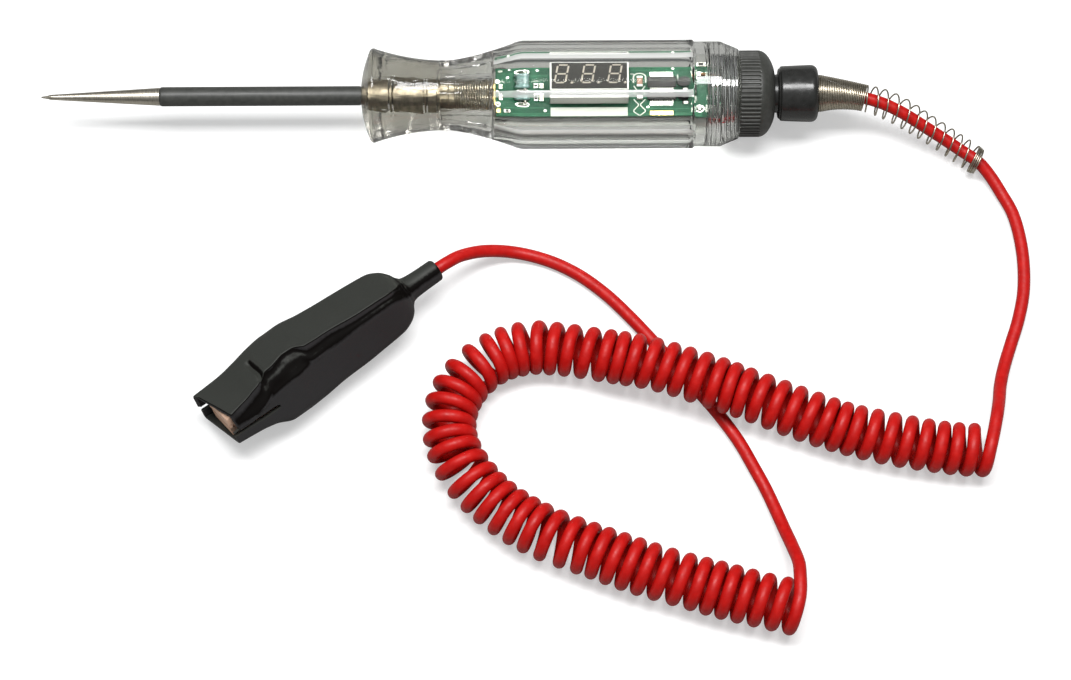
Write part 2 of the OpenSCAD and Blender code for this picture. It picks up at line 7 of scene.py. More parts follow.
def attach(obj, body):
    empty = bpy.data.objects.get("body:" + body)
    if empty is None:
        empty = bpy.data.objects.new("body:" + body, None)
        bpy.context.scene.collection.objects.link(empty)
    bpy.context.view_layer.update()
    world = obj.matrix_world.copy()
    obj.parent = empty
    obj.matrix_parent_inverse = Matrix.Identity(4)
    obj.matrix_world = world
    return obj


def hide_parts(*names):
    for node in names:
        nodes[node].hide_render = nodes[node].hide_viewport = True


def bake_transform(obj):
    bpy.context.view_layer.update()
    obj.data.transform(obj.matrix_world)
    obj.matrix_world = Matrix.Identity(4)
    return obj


# The digital circuit tester, lying on a pale floor. Lengths below are in millimetres
# unless they end in _m; meshes are scaled to metres when they are made.
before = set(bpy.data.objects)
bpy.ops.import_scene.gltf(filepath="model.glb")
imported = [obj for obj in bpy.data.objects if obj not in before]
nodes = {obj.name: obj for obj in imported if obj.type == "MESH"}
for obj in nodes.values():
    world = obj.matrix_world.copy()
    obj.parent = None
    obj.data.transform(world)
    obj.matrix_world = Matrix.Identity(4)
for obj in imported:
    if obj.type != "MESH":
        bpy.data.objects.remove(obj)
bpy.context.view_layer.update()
scene = bpy.context.scene
AZ = 15.1                       # height of the tester's axis
ROLL = math.radians(12.5)          # roll of the board about the axis

# ------------------------------------------------------------------ helpers
def catmull(P, t):
    """Point on the smooth curve through P at parameter t (0 to len(P) - 1)."""
    P = np.asarray(P, float)
    n = len(P) - 1
    i = int(min(math.floor(t), n - 1))
    u = t - i
    b, c = P[i], P[i + 1]
    a = P[i - 1] if i > 0 else 2 * b - c
    d = P[i + 2] if i < n - 1 else 2 * c - b
    return 0.5 * (2 * b + (c - a) * u + (2 * a - 5 * b + 4 * c - d) * u * u + (3 * b - a - 3 * c + d) * u ** 3)


def sample(P, per):
    n = len(P) - 1
    return np.array([catmull(P, i / per) for i in range(n * per)] + [np.asarray(P[-1], float)])


def arclen(P):
    return np.concatenate([[0.0], np.cumsum(np.linalg.norm(np.diff(P, axis=0), axis=1))])


def resample(P, step):
    s = arclen(P)
    n = max(2, int(round(s[-1] / step)))
    q = np.linspace(0, s[-1], n + 1)
    return np.stack([np.interp(q, s, P[:, k]) for k in range(3)], 1)


def tangents(P):
    T = np.gradient(P, axis=0)
    return T / np.linalg.norm(T, axis=1)[:, None]


def frames(P, up=(0.0, 0.0, 1.0)):
    """Tangent and two normals along P that don't twist."""
    T = tangents(P)
    N = np.zeros_like(P)
    u = np.array(up, float)
    n = np.cross(u, T[0])
    if np.linalg.norm(n) < 1e-6:
        n = np.cross(np.array([1.0, 0.0, 0.0]), T[0])
    N[0] = n / np.linalg.norm(n)
    for i in range(1, len(P)):
        v = N[i - 1] - T[i] * (N[i - 1] @ T[i])
        N[i] = v / np.linalg.norm(v)
    return T, N, np.cross(T, N)


def new_mesh(name, verts, faces, mat=None, smooth=True, sharp=None):
    """A mesh object from vertices in millimetres."""
    me = bpy.data.meshes.new(name)
    me.from_pydata([tuple(v) for v in np.asarray(verts, float) * 0.001], [], [tuple(int(k) for k in f) for f in faces])
    me.update()
    if smooth:
        me.polygons.foreach_set("use_smooth", [True] * len(me.polygons))
    if sharp is not None:
        me.set_sharp_from_angle(angle=math.radians(sharp))
    ob = bpy.data.objects.new(name, me)
    scene.collection.objects.link(ob)
    if mat is not None:
        me.materials.append(mat)
    return ob


def grid_faces(n, m, close_n=False, close_m=True, flip=False, base=0):
    """Quads of an n by m grid of vertices stored row by row."""
    out = []
    for i in range(n if close_n else n - 1):
        for j in range(m if close_m else m - 1):
            a = base + i * m + j
            b = base + i * m + (j + 1) % m
            c = base + ((i + 1) % n) * m + (j + 1) % m
            d = base + ((i + 1) % n) * m + j
            out.append((a, d, c, b) if flip else (a, b, c, d))
    return out


def tube_data(P, r, sides, caps=True, up=(0.0, 0.0, 1.0)):
    """Vertices and faces of a round tube along P with radius r (a number or one per point)."""
    T, N, B = frames(P, up)
    r = np.broadcast_to(np.asarray(r, float), (len(P),))
    a = np.arange(sides) * 2 * math.pi / sides
    V = P[:, None, :] + r[:, None, None] * (np.cos(a)[None, :, None] * N[:, None, :] + np.sin(a)[None, :, None] * B[:, None, :])
    V = V.reshape(-1, 3)
    F = grid_faces(len(P), sides)
    if caps:
        F.append(tuple(range(sides))[::-1])
        F.append(tuple((len(P) - 1) * sides + k for k in range(sides)))
    return V, F


def lathe_data(profile, segs, closed=False, axis_z=AZ, ends=False):
    """Turns [x, r] points about the tester's axis. closed joins the profile's last point to its first."""
    prof = np.asarray(profile, float)
    th = np.arange(segs) * 2 * math.pi / segs
    V, F = [], []
    for x, r in prof:
        V.append(np.stack([np.full(segs, x), -r * np.cos(th), axis_z + r * np.sin(th)], 1))
    V = np.concatenate(V)
    F = grid_faces(len(prof), segs, close_n=closed)
    if ends:
        F.append(tuple(range(segs))[::-1])
        F.append(tuple((len(prof) - 1) * segs + k for k in range(segs)))
    return V, F


def fix_normals(ob):
    import bmesh
    bm = bmesh.new()
    bm.from_mesh(ob.data)
    bmesh.ops.recalc_face_normals(bm, faces=bm.faces)
    bm.to_mesh(ob.data)
    bm.free()


def merge(parts):
    V, F, base = [], [], 0
    for v, f in parts:
        v = np.asarray(v, float)
        V.append(v)
        F += [tuple(k + base for k in q) for q in f]
        base += len(v)
    return np.concatenate(V), F


def put(ob, *replaced, slot=None, body="root"):
    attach(ob, body)
    if replaced:
        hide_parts(*replaced)
    return ob


# ------------------------------------------------------------------ materials
class Mat:
    """A node material in few words."""
    def __init__(self, name):
        self.m = bpy.data.materials.new(name)
        self.m.use_nodes = True
        self.t = self.m.node_tree
        self.b = next(n for n in self.t.nodes if n.type == "BSDF_PRINCIPLED")
        self.out = next(n for n in self.t.nodes if n.type == "OUTPUT_MATERIAL")
        self._co = None

    def n(self, kind, **inputs):
        node = self.t.nodes.new(kind)
        for k, v in inputs.items():
            k2 = k.replace("_", " ")
            if k2 in node.inputs:
                node.inputs[k2].default_value = v
            else:
                setattr(node, k, v)
        return node

    def link(self, a, b):
        self.t.links.new(a, b)

    def co(self):
        if self._co is None:
            self._co = self.t.nodes.new("ShaderNodeTexCoord").outputs["Object"]
        return self._co

    def scaled(self, sx, sy, sz, rot=(0, 0, 0)):
        m = self.t.nodes.new("ShaderNodeMapping")
        m.inputs["Scale"].default_value = (sx, sy, sz)
        m.inputs["Rotation"].default_value = rot
        self.link(self.co(), m.inputs["Vector"])
        return m.outputs["Vector"]

    def noise(self, scale, detail=2.0, rough=0.5, vec=None, distort=0.0):
        n = self.t.nodes.new("ShaderNodeTexNoise")
        n.inputs["Scale"].default_value = scale
        n.inputs["Detail"].default_value = detail
        n.inputs["Roughness"].default_value = rough
        n.inputs["Distortion"].default_value = distort
        self.link(vec if vec is not None else self.co(), n.inputs["Vector"])
        return n.outputs["Fac"]

    def ramp(self, fac, stops, mode="LINEAR"):
        r = self.t.nodes.new("ShaderNodeValToRGB")
        r.color_ramp.interpolation = mode
        el = r.color_ramp.elements
        while len(el) < len(stops):
            el.new(0.5)
        for e, (p, c) in zip(el, stops):
            e.position = p
            e.color = (*c, 1) if len(c) == 3 else c
        self.link(fac, r.inputs["Fac"])
        return r.outputs["Color"]

    def rng(self, fac, a, b, c, d):
        r = self.t.nodes.new("ShaderNodeMapRange")
        for k, v in zip(("From Min", "From Max", "To Min", "To Max"), (a, b, c, d)):
            r.inputs[k].default_value = v
        self.link(fac, r.inputs["Value"])
        return r.outputs["Result"]

    def math(self, op, a, b=None, c=None):
        m = self.t.nodes.new("ShaderNodeMath")
        m.operation = op
        for k, v in enumerate((a, b, c)):
            if v is None:
                continue
            if isinstance(v, (int, float)):
                m.inputs[k].default_value = v
            else:
                self.link(v, m.inputs[k])
        return m.outputs[0]

    def bump(self, height, strength, distance_mm):
        b = self.t.nodes.new("ShaderNodeBump")
        b.inputs["Strength"].default_value = strength
        b.inputs["Distance"].default_value = distance_mm * 0.001
        self.link(height, b.inputs["Height"])
        self.link(b.outputs["Normal"], self.b.inputs["Normal"])
        return b

    def set(self, **kw):
        for k, v in kw.items():
            self.b.inputs[k.replace("_", " ")].default_value = v
        return self

    def color(self, out):
        self.link(out, self.b.inputs["Base Color"])

    def rough(self, out):
        self.link(out, self.b.inputs["Roughness"])


def srgb(r, g, b):
    f = lambda c: c / 255 / 12.92 if c / 255 <= 0.04045 else ((c / 255 + 0.055) / 1.055) ** 2.4
    return (f(r), f(g), f(b))


def hexc(h):
    return srgb(int(h[0:2], 16), int(h[2:4], 16), int(h[4:6], 16))


def simple(name, col, col2=None, rough=0.4, rough2=None, metal=0.0, scale=900.0, bump=0.0, bump_scale=1500.0, spec=None, coat=0.0):
    """Procedural finish: two tones mixed by noise, uneven gloss and a fine bump."""
    m = Mat(name)
    m.set(Metallic=metal)
    if spec is not None:
        m.b.inputs["Specular IOR Level"].default_value = spec
    if coat:
        m.b.inputs["Coat Weight"].default_value = coat
        m.b.inputs["Coat Roughness"].default_value = 0.08
    c2 = col2 if col2 is not None else tuple(min(1, c * 1.15 + 0.003) for c in col)
    f = m.noise(scale, 3.0, 0.55)
    m.color(m.ramp(f, [(0.3, col), (0.7, c2)]))
    m.rough(m.rng(m.noise(scale * 0.6, 2.0), 0.3, 0.7, rough, rough2 if rough2 is not None else rough * 1.15))
    if bump:
        m.bump(m.noise(bump_scale, 3.0, 0.6), 1.0, bump)
    return m.m


# red jacket: a soft satin skin with small shallow dents
m = Mat("red_jacket")
m.set(Metallic=0.0)
m.b.inputs["Specular IOR Level"].default_value = 0.32
m.b.inputs["IOR"].default_value = 1.47
f = m.noise(420.0, 4.0, 0.6)
m.color(m.ramp(f, [(0.25, (0.40, 0.0030, 0.0022)), (0.55, (0.48, 0.0050, 0.0034)), (0.8, (0.56, 0.0105, 0.0070))]))
m.rough(m.rng(m.noise(650.0, 3.0, 0.6), 0.3, 0.7, 0.34, 0.56))
h = m.math("ADD", m.math("MULTIPLY", m.noise(260.0, 2.0, 0.5), 1.0), m.math("MULTIPLY", m.noise(1300.0, 2.0, 0.5), 0.22))
m.bump(h, 1.0, 0.16)
RED = m.m

# clear moulded plastic: light reaches what is inside through the shadow rays
def clear_material(name, tint, highlight_haze=0.0):
    m = Mat(name)
    m.set(Metallic=0.0, Roughness=0.015)
    # highlight_haze trades part of the clear transmission for a milky white layer, used on the ridges as a painted
    # highlight
    m.b.inputs["Transmission Weight"].default_value = 1.0 - highlight_haze
    m.b.inputs["IOR"].default_value = 1.49
    m.b.inputs["Specular Tint"].default_value = (tint, tint, tint, 1)
    # the solid front swallows more light than the hollow body, and its moulding shows flow lines
    xyz = m.n("ShaderNodeSeparateXYZ")
    m.link(m.co(), xyz.inputs[0])
    solid = m.rng(xyz.outputs["X"], 0.004, 0.026, 1.0, 0.0)
    streaks = m.noise(1.0, 3.0, 0.55, vec=m.scaled(75.0, 330.0, 330.0), distort=0.6)
    cloud = m.noise(170.0, 3.0, 0.6)
    depth = m.math("MULTIPLY", solid, m.math("ADD", 0.72, m.math("MULTIPLY", m.math("ADD", streaks, cloud), 0.28)))
    m.color(m.ramp(depth, [(0.0, (0.93, 0.935, 0.915)), (0.80, (0.76, 0.745, 0.70)), (1.0, (0.56, 0.54, 0.485))]))
    n1 = m.noise(95.0, 2.0, 0.5)
    m.bump(m.math("ADD", m.math("MULTIPLY", n1, 0.05), m.math("MULTIPLY", m.math("MULTIPLY", streaks, solid), 0.34)), 1.0, 1.0)
    m.rough(m.rng(m.noise(240.0, 3.0, 0.6), 0.55, 0.75, 0.0, 0.05))
    lp = m.n("ShaderNodeLightPath")
    tr = m.n("ShaderNodeBsdfTransparent")
    tr.inputs["Color"].default_value = (0.93, 0.94, 0.93, 1)
    mx = m.n("ShaderNodeMixShader")
    m.link(lp.outputs["Is Shadow Ray"], mx.inputs["Fac"])
    m.link(m.b.outputs["BSDF"], mx.inputs[1])
    m.link(tr.outputs["BSDF"], mx.inputs[2])
    m.link(mx.outputs["Shader"], m.out.inputs["Surface"])
    return m.m


CLEAR = clear_material("clear_moulding", 1.0)
CLEAR_IN = clear_material("clear_moulding_inside", 0.12)      # bore and cavity mirror less than bare plastic, so that no lamp shows over the digits
CLEAR_RIDGE_HIGHLIGHT = clear_material("clear_moulding_ridge_painted_highlight", 1.0, 0.4)      # ridges made partly milky white: a painted highlight standing in for the broad pale lamp reflections along them


# ------------------------------------------------------------------ routes (as in the solids)
cord_start = [[92, 0, 15.1], [96, 0, 15.1], [101, 0, 15.1], [106, 0, 15.1]]
spring_route = [[107.5, 0, 15.1], [111.6, 0, 15.1], [115.8, -0.1, 15.1], [120.6, -0.6, 15.05],
                [125.5, -1.5, 14.9], [131, -2.9, 13.9], [136.5, -5, 12.2], [142, -7.6, 9.9],
                [148, -10.6, 7.4], [153.5, -13.8, 5.6], [158.5, -17.2, 4.7]]
lead_route = [[158.5, -17.2, 4.7], [162, -21, 3.1], [165, -26, 2], [167.8, -32, 1.8], [169.4, -39.5, 1.8],
              [170, -48, 1.8], [169.4, -57, 1.8], [167.4, -65.5, 1.8], [164.8, -73, 1.8], [162.4, -80, 2.6],
              [160.6, -86.5, 4.9], [159.4, -92.5, 8.4], [158, -98.4, 11.9], [155.8, -103.6, 13.3], [154, -107, 13]]
coil_route = [[156, -107.2], [145, -106.4], [131, -104], [117, -100.6], [104, -96], [90, -91],
              [76, -86.4], [62, -81.8], [48, -78.4], [37, -76.2], [28.5, -75.8], [20, -78.2],
              [13, -83.2], [8, -90.2], [6.2, -98.8], [7.8, -107], [12.6, -115.2], [20.8, -123.4],
              [32, -130.4], [46, -136], [60, -141.2], [75, -145.8], [88, -149.4], [101, -152.6]]
tail_route = [[100, -152, 13.4], [101.6, -146, 13.9], [101.6, -141, 11.8], [100.4, -135, 7.6],
              [98.6, -128.6, 4], [96.4, -122, 2.2], [94, -116, 1.8], [90.8, -109.4, 1.8],
              [87, -102, 1.8], [82, -94.4, 1.8], [76.6, -87.4, 1.8], [71, -80.6, 1.8],
              [64, -72, 1.8], [57, -63.8, 1.8], [50, -56.6, 1.8], [42, -50.4, 1.8],
              [33, -46, 1.8], [24, -44.2, 3], [16, -45.4, 6.6],
              [9.6, -48.4, 10.4], [5.8, -51.1, 12], [2.6, -53.5, 12.4], [-3.2, -57.9, 12.4], [-8.8, -62.1, 12.4]]
CORD_D = 3.6
TURNS = 61


def coil_r(t):
    return (15.2 + 0.8 * t / 23) / 2


def hump(t):
    return 3.8 * math.cos(math.radians(90 * (t - 6.35) / 2.6)) ** 2 if abs(t - 6.35) < 2.6 else 0.0


def build_cord():
    ax3 = [[p[0], p[1], coil_r(i) + hump(i)] for i, p in enumerate(coil_route)]
    per = 60
    A = sample(ax3, per)
    tt = np.arange(len(A)) / per
    s = arclen(A)
    L = s[-1]
    step_deg = 9.0
    n = int(TURNS * 360 / step_deg)
    pts = []
    for k in range(n + 1):
        ang = k * step_deg
        q = k / n
        # pitch wanders a little, as on a coil that has been pulled out and let go
        ss = L * (q + 0.0016 * math.sin(2 * math.pi * q * 9.0 + 1.0) + 0.0011 * math.sin(2 * math.pi * q * 17.0 + 0.4) * math.sin(math.pi * q))
        ss = min(max(ss, 0.0), L)
        t = float(np.interp(ss, s, tt))
        c = catmull(ax3, t)
        h = 0.02
        T = catmull([[p[0], p[1], 0.0] for p in coil_route], min(t + h, 23)) - catmull([[p[0], p[1], 0.0] for p in coil_route], max(t - h, 0))
        T /= np.linalg.norm(T)
        N = np.array([-T[1], T[0], 0.0])
        psi = math.radians(90 - ang)
        R = coil_r(t) - CORD_D / 2 - 0.02
        R *= 1 + 0.012 * math.sin(ang * 0.0031 + 1.3) - 0.012
        # each turn leans: its top runs ahead of its foot, and the far side ahead of the near side
        lean_top = 0.35 * math.sin(q * 31.0) * math.sin(math.pi * q) ** 0.5 if 0 < q < 1 else 0.0
        lean_side = -0.55 * math.sin(math.pi * min(1, max(0, q))) ** 0.3 if 0 < q < 1 else 0.0
        off = R * (math.cos(psi) * N + math.sin(psi) * np.array([0, 0, 1.0]))
        off = off + T * (lean_top * math.sin(psi) + lean_side * math.cos(psi))
        pts.append(c + off)
    H = np.array(pts)
    lead = np.array(cord_start + spring_route[:-1] + lead_route[:-2], float)
    k0 = 0
    # the strand comes off the coil's first turn a little before its top
    pre = []
    for ang in (-35.0, -17.0):
        c = catmull(ax3, 0)
        T = np.array(coil_route[1], float) - np.array(coil_route[0], float)
        T = np.array([T[0], T[1], 0]) / np.linalg.norm(T)
        N = np.array([-T[1], T[0], 0.0])
        psi = math.radians(90 - ang)
        R = coil_r(0) - CORD_D / 2
        pre.append(c + T * (4.76 * ang / 360) + R * (math.cos(psi) * N + math.sin(psi) * np.array([0, 0, 1.0])))
    head = np.concatenate([lead, np.array(pre), H[:1]])
    head_s = sample(head, 24)
    post = []
    for ang in (18.0,):
        c = catmull(ax3, 23)
        T = np.array(coil_route[-1], float) - np.array(coil_route[-2], float)
        T = np.array([T[0], T[1], 0]) / np.linalg.norm(T)
        N = np.array([-T[1], T[0], 0.0])
        psi = math.radians(90 - ang)
        R = coil_r(23) - CORD_D / 2
        post.append(c + T * (4.76 * ang / 360) + R * (math.cos(psi) * N + math.sin(psi) * np.array([0, 0, 1.0])))
    tail = np.array([H[-1]] + post + tail_route[1:], float)
    tail_s = sample(tail, 24)
    path = np.concatenate([head_s[:-1], H, tail_s[1:]])
    P = resample(path, 0.62)
    # ease the joins of the strand with its coil
    sH0 = arclen(head_s)[-1]
    s = arclen(P)
    sH1 = s[-1] - arclen(tail_s)[-1]
    for _ in range(40):
        Q = P.copy()
        Q[1:-1] = 0.5 * P[1:-1] + 0.25 * (P[:-2] + P[2:])
        w = np.maximum(np.exp(-((s - sH0) / 7.0) ** 2), np.exp(-((s - sH1) / 7.0) ** 2))[:, None]
        P = P * (1 - w) + Q * w
    P[:, 2] = np.maximum(P[:, 2], CORD_D / 2 + 0.02)
    return P


P = build_cord()
V, F = tube_data(P, CORD_D / 2, 18)
cord = new_mesh("cord", V, F, RED)
put(cord, "cord_lead", "cord_coil", "cord_tail", slot="red_cord")

# ------------------------------------------------------------------ probe
# ground steel: fine rings left by the grinding wheel, and darker streaks
m = Mat("ground_steel")
m.set(Metallic=1.0)
v = m.scaled(9000.0, 600.0, 600.0)
rings = m.noise(1.0, 3.0, 0.6, vec=v)
streak = m.noise(1.0, 3.0, 0.6, vec=m.scaled(120.0, 900.0, 900.0))
m.color(m.ramp(m.math("ADD", m.math("MULTIPLY", rings, 0.5), m.math("MULTIPLY", streak, 0.5)),
               [(0.3, (0.30, 0.27, 0.22)), (0.5, (0.50, 0.46, 0.39)), (0.7, (0.66, 0.62, 0.54))]))
m.rough(m.rng(rings, 0.3, 0.7, 0.26, 0.42))
m.bump(rings, 1.0, 0.02)
GROUND = m.m

prof = [(-111.7, 0.0), (-111.66, 0.1), (-111.5, 0.2), (-111.1, 0.3), (-110.4, 0.4), (-109.7, 0.52), (-109.35, 0.64), (-109.1, 0.74)]
prof += [(x, 0.74 + (x + 109.1) * (2.54 - 0.74) / 30.6) for x in np.linspace(-108.5, -78.6, 16)]
prof += [(-78.2, 2.575), (-77.55, 2.58), (-77.45, 2.5), (-77.42, 1.8), (-60, 1.8), (-40, 1.8), (-20, 1.8), (-4.0, 1.8), (-4.0, 0.0)]
V, F = lathe_data(prof, 64)
needle = new_mesh("needle", V, F, GROUND, sharp=35)
fix_normals(needle)
put(needle, "probe_needle", slot="ground_steel")

# satin black tube with faint drawn lines
m = Mat("sleeve_black")
v = m.scaled(60.0, 1400.0, 1400.0)
drawn = m.noise(1.0, 3.0, 0.6, vec=v)
m.color(m.ramp(m.noise(700.0, 3.0), [(0.3, (0.034, 0.035, 0.032)), (0.7, (0.052, 0.053, 0.048))]))
m.rough(m.rng(drawn, 0.3, 0.7, 0.38, 0.52))
m.bump(m.math("ADD", drawn, m.math("MULTIPLY", m.noise(2600.0, 2.0), 0.6)), 1.0, 0.02)
SLEEVE = m.m
prof = [(-77.5, 1.86), (-77.5, 2.35), (-77.42, 2.5), (-77.3, 2.64), (-77.05, 2.76), (-76.7, 2.8)]
prof += [(x, 2.8) for x in np.linspace(-74, -21, 24)] + [(-19.7, 2.8), (-19.7, 2.5), (-17.4, 2.5), (-17.4, 1.86)]
V, F = lathe_data(prof, 64, closed=True)
sleeve = new_mesh("sleeve", V, F, SLEEVE, sharp=35)
fix_normals(sleeve)
put(sleeve, "probe_sleeve", slot="black_sleeve")

# dull plated metal of the insert and the stud
NICKEL = simple("dull_nickel", (0.20, 0.175, 0.13), (0.38, 0.335, 0.26), rough=0.34, rough2=0.5, metal=1.0, scale=700.0, bump=0.03, bump_scale=2500.0)
SPRINGM = simple("spring_wire", (0.36, 0.32, 0.25), (0.56, 0.51, 0.42), rough=0.24, rough2=0.36, metal=1.0, scale=1500.0, bump=0.01, bump_scale=4000.0)
BRASS = simple("stamped_brass", (0.52, 0.36, 0.13), (0.70, 0.50, 0.22), rough=0.25, rough2=0.4, metal=1.0, scale=900.0, bump=0.02)
TIN = simple("tinned", (0.55, 0.54, 0.5), (0.72, 0.71, 0.67), rough=0.22, rough2=0.4, metal=1.0, scale=2500.0, bump=0.02)
for name, mt in (("probe_ferrule", NICKEL), ("contact_stud", NICKEL), ("board_contact", BRASS), ("cord_crimp", TIN), ("clip_pin", NICKEL), ("clip_spring", SPRINGM), ("display_pins", TIN)):
    ob = nodes[name]
    ob.data.materials.clear()
    ob.data.materials.append(mt)

# contact spring: round wire, closed at both ends
t = np.linspace(0, 1, 14 * 28 + 1)
a = t * 14 * 2 * math.pi
e = 0.5 - 0.5 * np.cos(np.clip(t, 0, 1) * math.pi)
x = 7.95 + (18.1 - 7.95) * (0.82 * t + 0.18 * e)
C = np.stack([x, 4.25 * np.cos(a), AZ + 4.25 * np.sin(a)], 1)
V, F = tube_data(C, 0.25, 8, up=(1, 0, 0))
cs = new_mesh("contact_coil_spring", V, F, SPRINGM)
put(cs, "contact_spring", slot="spring_steel")
# ------------------------------------------------------------------ clear handle
APO, RIDGE, TWIST = 14.66, 2.7, 3.5      # apothem, ridge radius, and the flats' turn about the axis
FLAT_HALF = math.degrees(math.atan((APO - RIDGE) * math.tan(math.radians(22.5)) / APO))
RIDGE_C = (APO - RIDGE) / math.cos(math.radians(22.5))


def octagon(delta):
    """Radius of the eight-sided body, delta degrees from the middle of a flat."""
    if delta <= FLAT_HALF:
        return APO / math.cos(math.radians(delta))
    q = math.radians(22.5 - delta)
    return RIDGE_C * math.cos(q) + math.sqrt(RIDGE ** 2 - (RIDGE_C * math.sin(q)) ** 2)


def flare(x):
    return 10 + 3.6 * ((5.5 - x) / 21.4) ** 2


def rise(x):
    return 10 + 5.55 * ((x - 5.5) / 20.9) ** 1.42


def sstep(v):
    v = min(max(v, 0.0), 1.0)
    return v * v * (3 - 2 * v)


def handle_rho(x, R, delta):
    """Radius of the outer surface at station x, delta degrees from the middle of the nearest flat."""
    if x < 2.8 or x > 76.3:
        return R
    o = octagon(delta) * (R / 15.55)
    m = sstep((x - 3.0) / 0.5)
    if x > 70:
        y = abs(APO * math.tan(math.radians(delta)))
        qx, qy = x - (75.6 - 2.6), y - (5.3 - 2.6)
        sd = math.hypot(max(qx, 0), max(qy, 0)) + min(max(qx, qy), 0) - 2.6
        raised = octagon(22.5) * (R / 15.55) if x < 75.8 else R
        inside = sstep(0.5 - sd / 1.5)
        if delta <= FLAT_HALF + 1.2:
            o = raised + (o - raised) * inside if x > 72.5 else o
    return R + (o - R) * m


def build_handle():
    th = []
    for k in range(8):
        base = 45.0 * k
        f = FLAT_HALF
        th += [(base + TWIST + q, abs(q)) for q in np.linspace(-f, f, 15)]
        th += [(base + TWIST + q, q if q < 22.5 else 45 - q) for q in np.linspace(f, 45 - f, 13)[1:-1]]
    front = [(-19.6 + 3 * (r / 13.6) ** 2, r) for r in (2.85, 3.6, 5, 6.5, 8, 9.5, 11, 12.2)]
    front += [(-16.98, 12.75), (-16.8, 13.1), (-16.55, 13.35), (-16.25, 13.52), (-15.9, 13.6), (-15.5, 13.56)]
    neck = [(x, flare(x)) for x in np.arange(-15, 2.6, 0.8)] + [(x, flare(x)) for x in (2.8, 3.0, 3.15, 3.3, 3.45, 3.6, 3.8, 4.2, 5.0)]
    up = [(x, rise(x)) for x in np.concatenate([np.arange(6, 24.1, 0.75)])]
    up += [(24.8, 15.05), (25.6, 15.25), (26.1, 15.39), (26.6, 15.49), (27.1, 15.54), (27.6, 15.55)]
    body = [(x, 15.55) for x in np.linspace(29, 70, 22)]
    body += [(x, 15.55) for x in np.arange(71, 73.1, 0.4)] + [(x, 15.55) for x in np.arange(73.4, 75.8, 0.16)]
    body += [(75.8, 15.55), (75.92, 15.5), (76.03, 15.35), (76.12, 15.2), (76.22, 15.11), (76.36, 15.1), (76.6, 15.1), (77.0, 15.1), (78, 15.1), (80, 15.1), (82, 15.1), (83.3, 15.1),
             (83.8, 15.04), (84.2, 14.9), (84.7, 14.66), (85.5, 14.33), (86.5, 13.92), (87.5, 13.5), (88.4, 13.12), (88.7, 12.98), (88.9, 12.85), (89.0, 12.7)]
    outer = front + neck + up + body
    # inner side, from the rear face forward: thread, cavity, wall, bore, shank hole
    n_thread = [(x, 11.85) for x in np.arange(88.4, 79.4, -0.11)]
    inner = [(89.0, 12.3), (88.85, 12.05), (88.6, 11.9)] + n_thread
    inner += [(79.3, 11.68), (79.0, 11.6)] + [(x, 11.6) for x in np.linspace(77, 20.5, 26)]
    inner += [(19.3, 11.6), (18.9, 11.5), (18.55, 11.25), (18.35, 10.9), (18.3, 10.4), (18.3, 8), (18.3, 6.5), (18.3, 5.1), (18.25, 4.9), (18.1, 4.85)]
    inner += [(x, 4.85) for x in np.linspace(17, 3, 10)] + [(2.45, 4.85), (2.25, 4.8), (2.25, 3.4), (2.1, 3.28)]
    # the plastic is moulded onto the insert, so its skin lies just under the metal's
    inner += [(x, 3.28) for x in np.linspace(1, -10.4, 10)] + [(-10.6, 3.2), (-12.3, 3.2), (-12.5, 3.04), (-17.1, 3.04), (-17.2, 3.0), (-17.25, 2.9), (-17.4, 2.85), (-18.6, 2.85)]
    V = []
    for x, R in outer:
        for a, dl in th:
            r = handle_rho(x, R, dl)
            ar = math.radians(a)
            V.append((x, -r * math.sin(ar), AZ + r * math.cos(ar)))
    for x, R in inner:
        for a, dl in th:
            r = R
            if 79.35 < x < 88.45:
                ph = ((x - 1.27 * a / 360) / 1.27) % 1.0
                tri = 1 - abs(2 * ph - 1)
                fade = min(1, (x - 79.35) / 0.8, (88.5 - x) / 0.8)
                r = R + 0.62 * min(1.0, max(0.0, tri * 1.25 - 0.12)) * max(0, fade)
            ar = math.radians(a)
            V.append((x, -r * math.sin(ar), AZ + r * math.cos(ar)))
    m_ = len(th)
    n_ = len(outer) + len(inner)
    F = grid_faces(n_, m_, close_n=True)
    ob = new_mesh("clear_handle", V, F, CLEAR)
    fix_normals(ob)
    ob.data.materials.append(CLEAR_IN)
    inside = len(outer) * m_
    ob.data.materials.append(CLEAR_RIDGE_HIGHLIGHT)
    for p in ob.data.polygons:
        if min(p.vertices) >= inside:
            p.material_index = 1
            continue
        # faces on the rounded ridges of the body take the milky ridge material, a painted highlight
        c = np.mean([V[v] for v in p.vertices], axis=0)
        turn_ = (math.degrees(math.atan2(-c[1], c[2] - AZ)) - TWIST + 22.5) % 45 - 22.5
        if 18.4 < c[0] < 75.4 and abs(turn_) > FLAT_HALF + 0.1:
            p.material_index = 2
    ob.data.set_sharp_from_angle(angle=math.radians(62))
    return ob


handle = build_handle()
put(handle, "handle_body", slot="clear_plastic")
print("handle faces", len(handle.data.polygons))
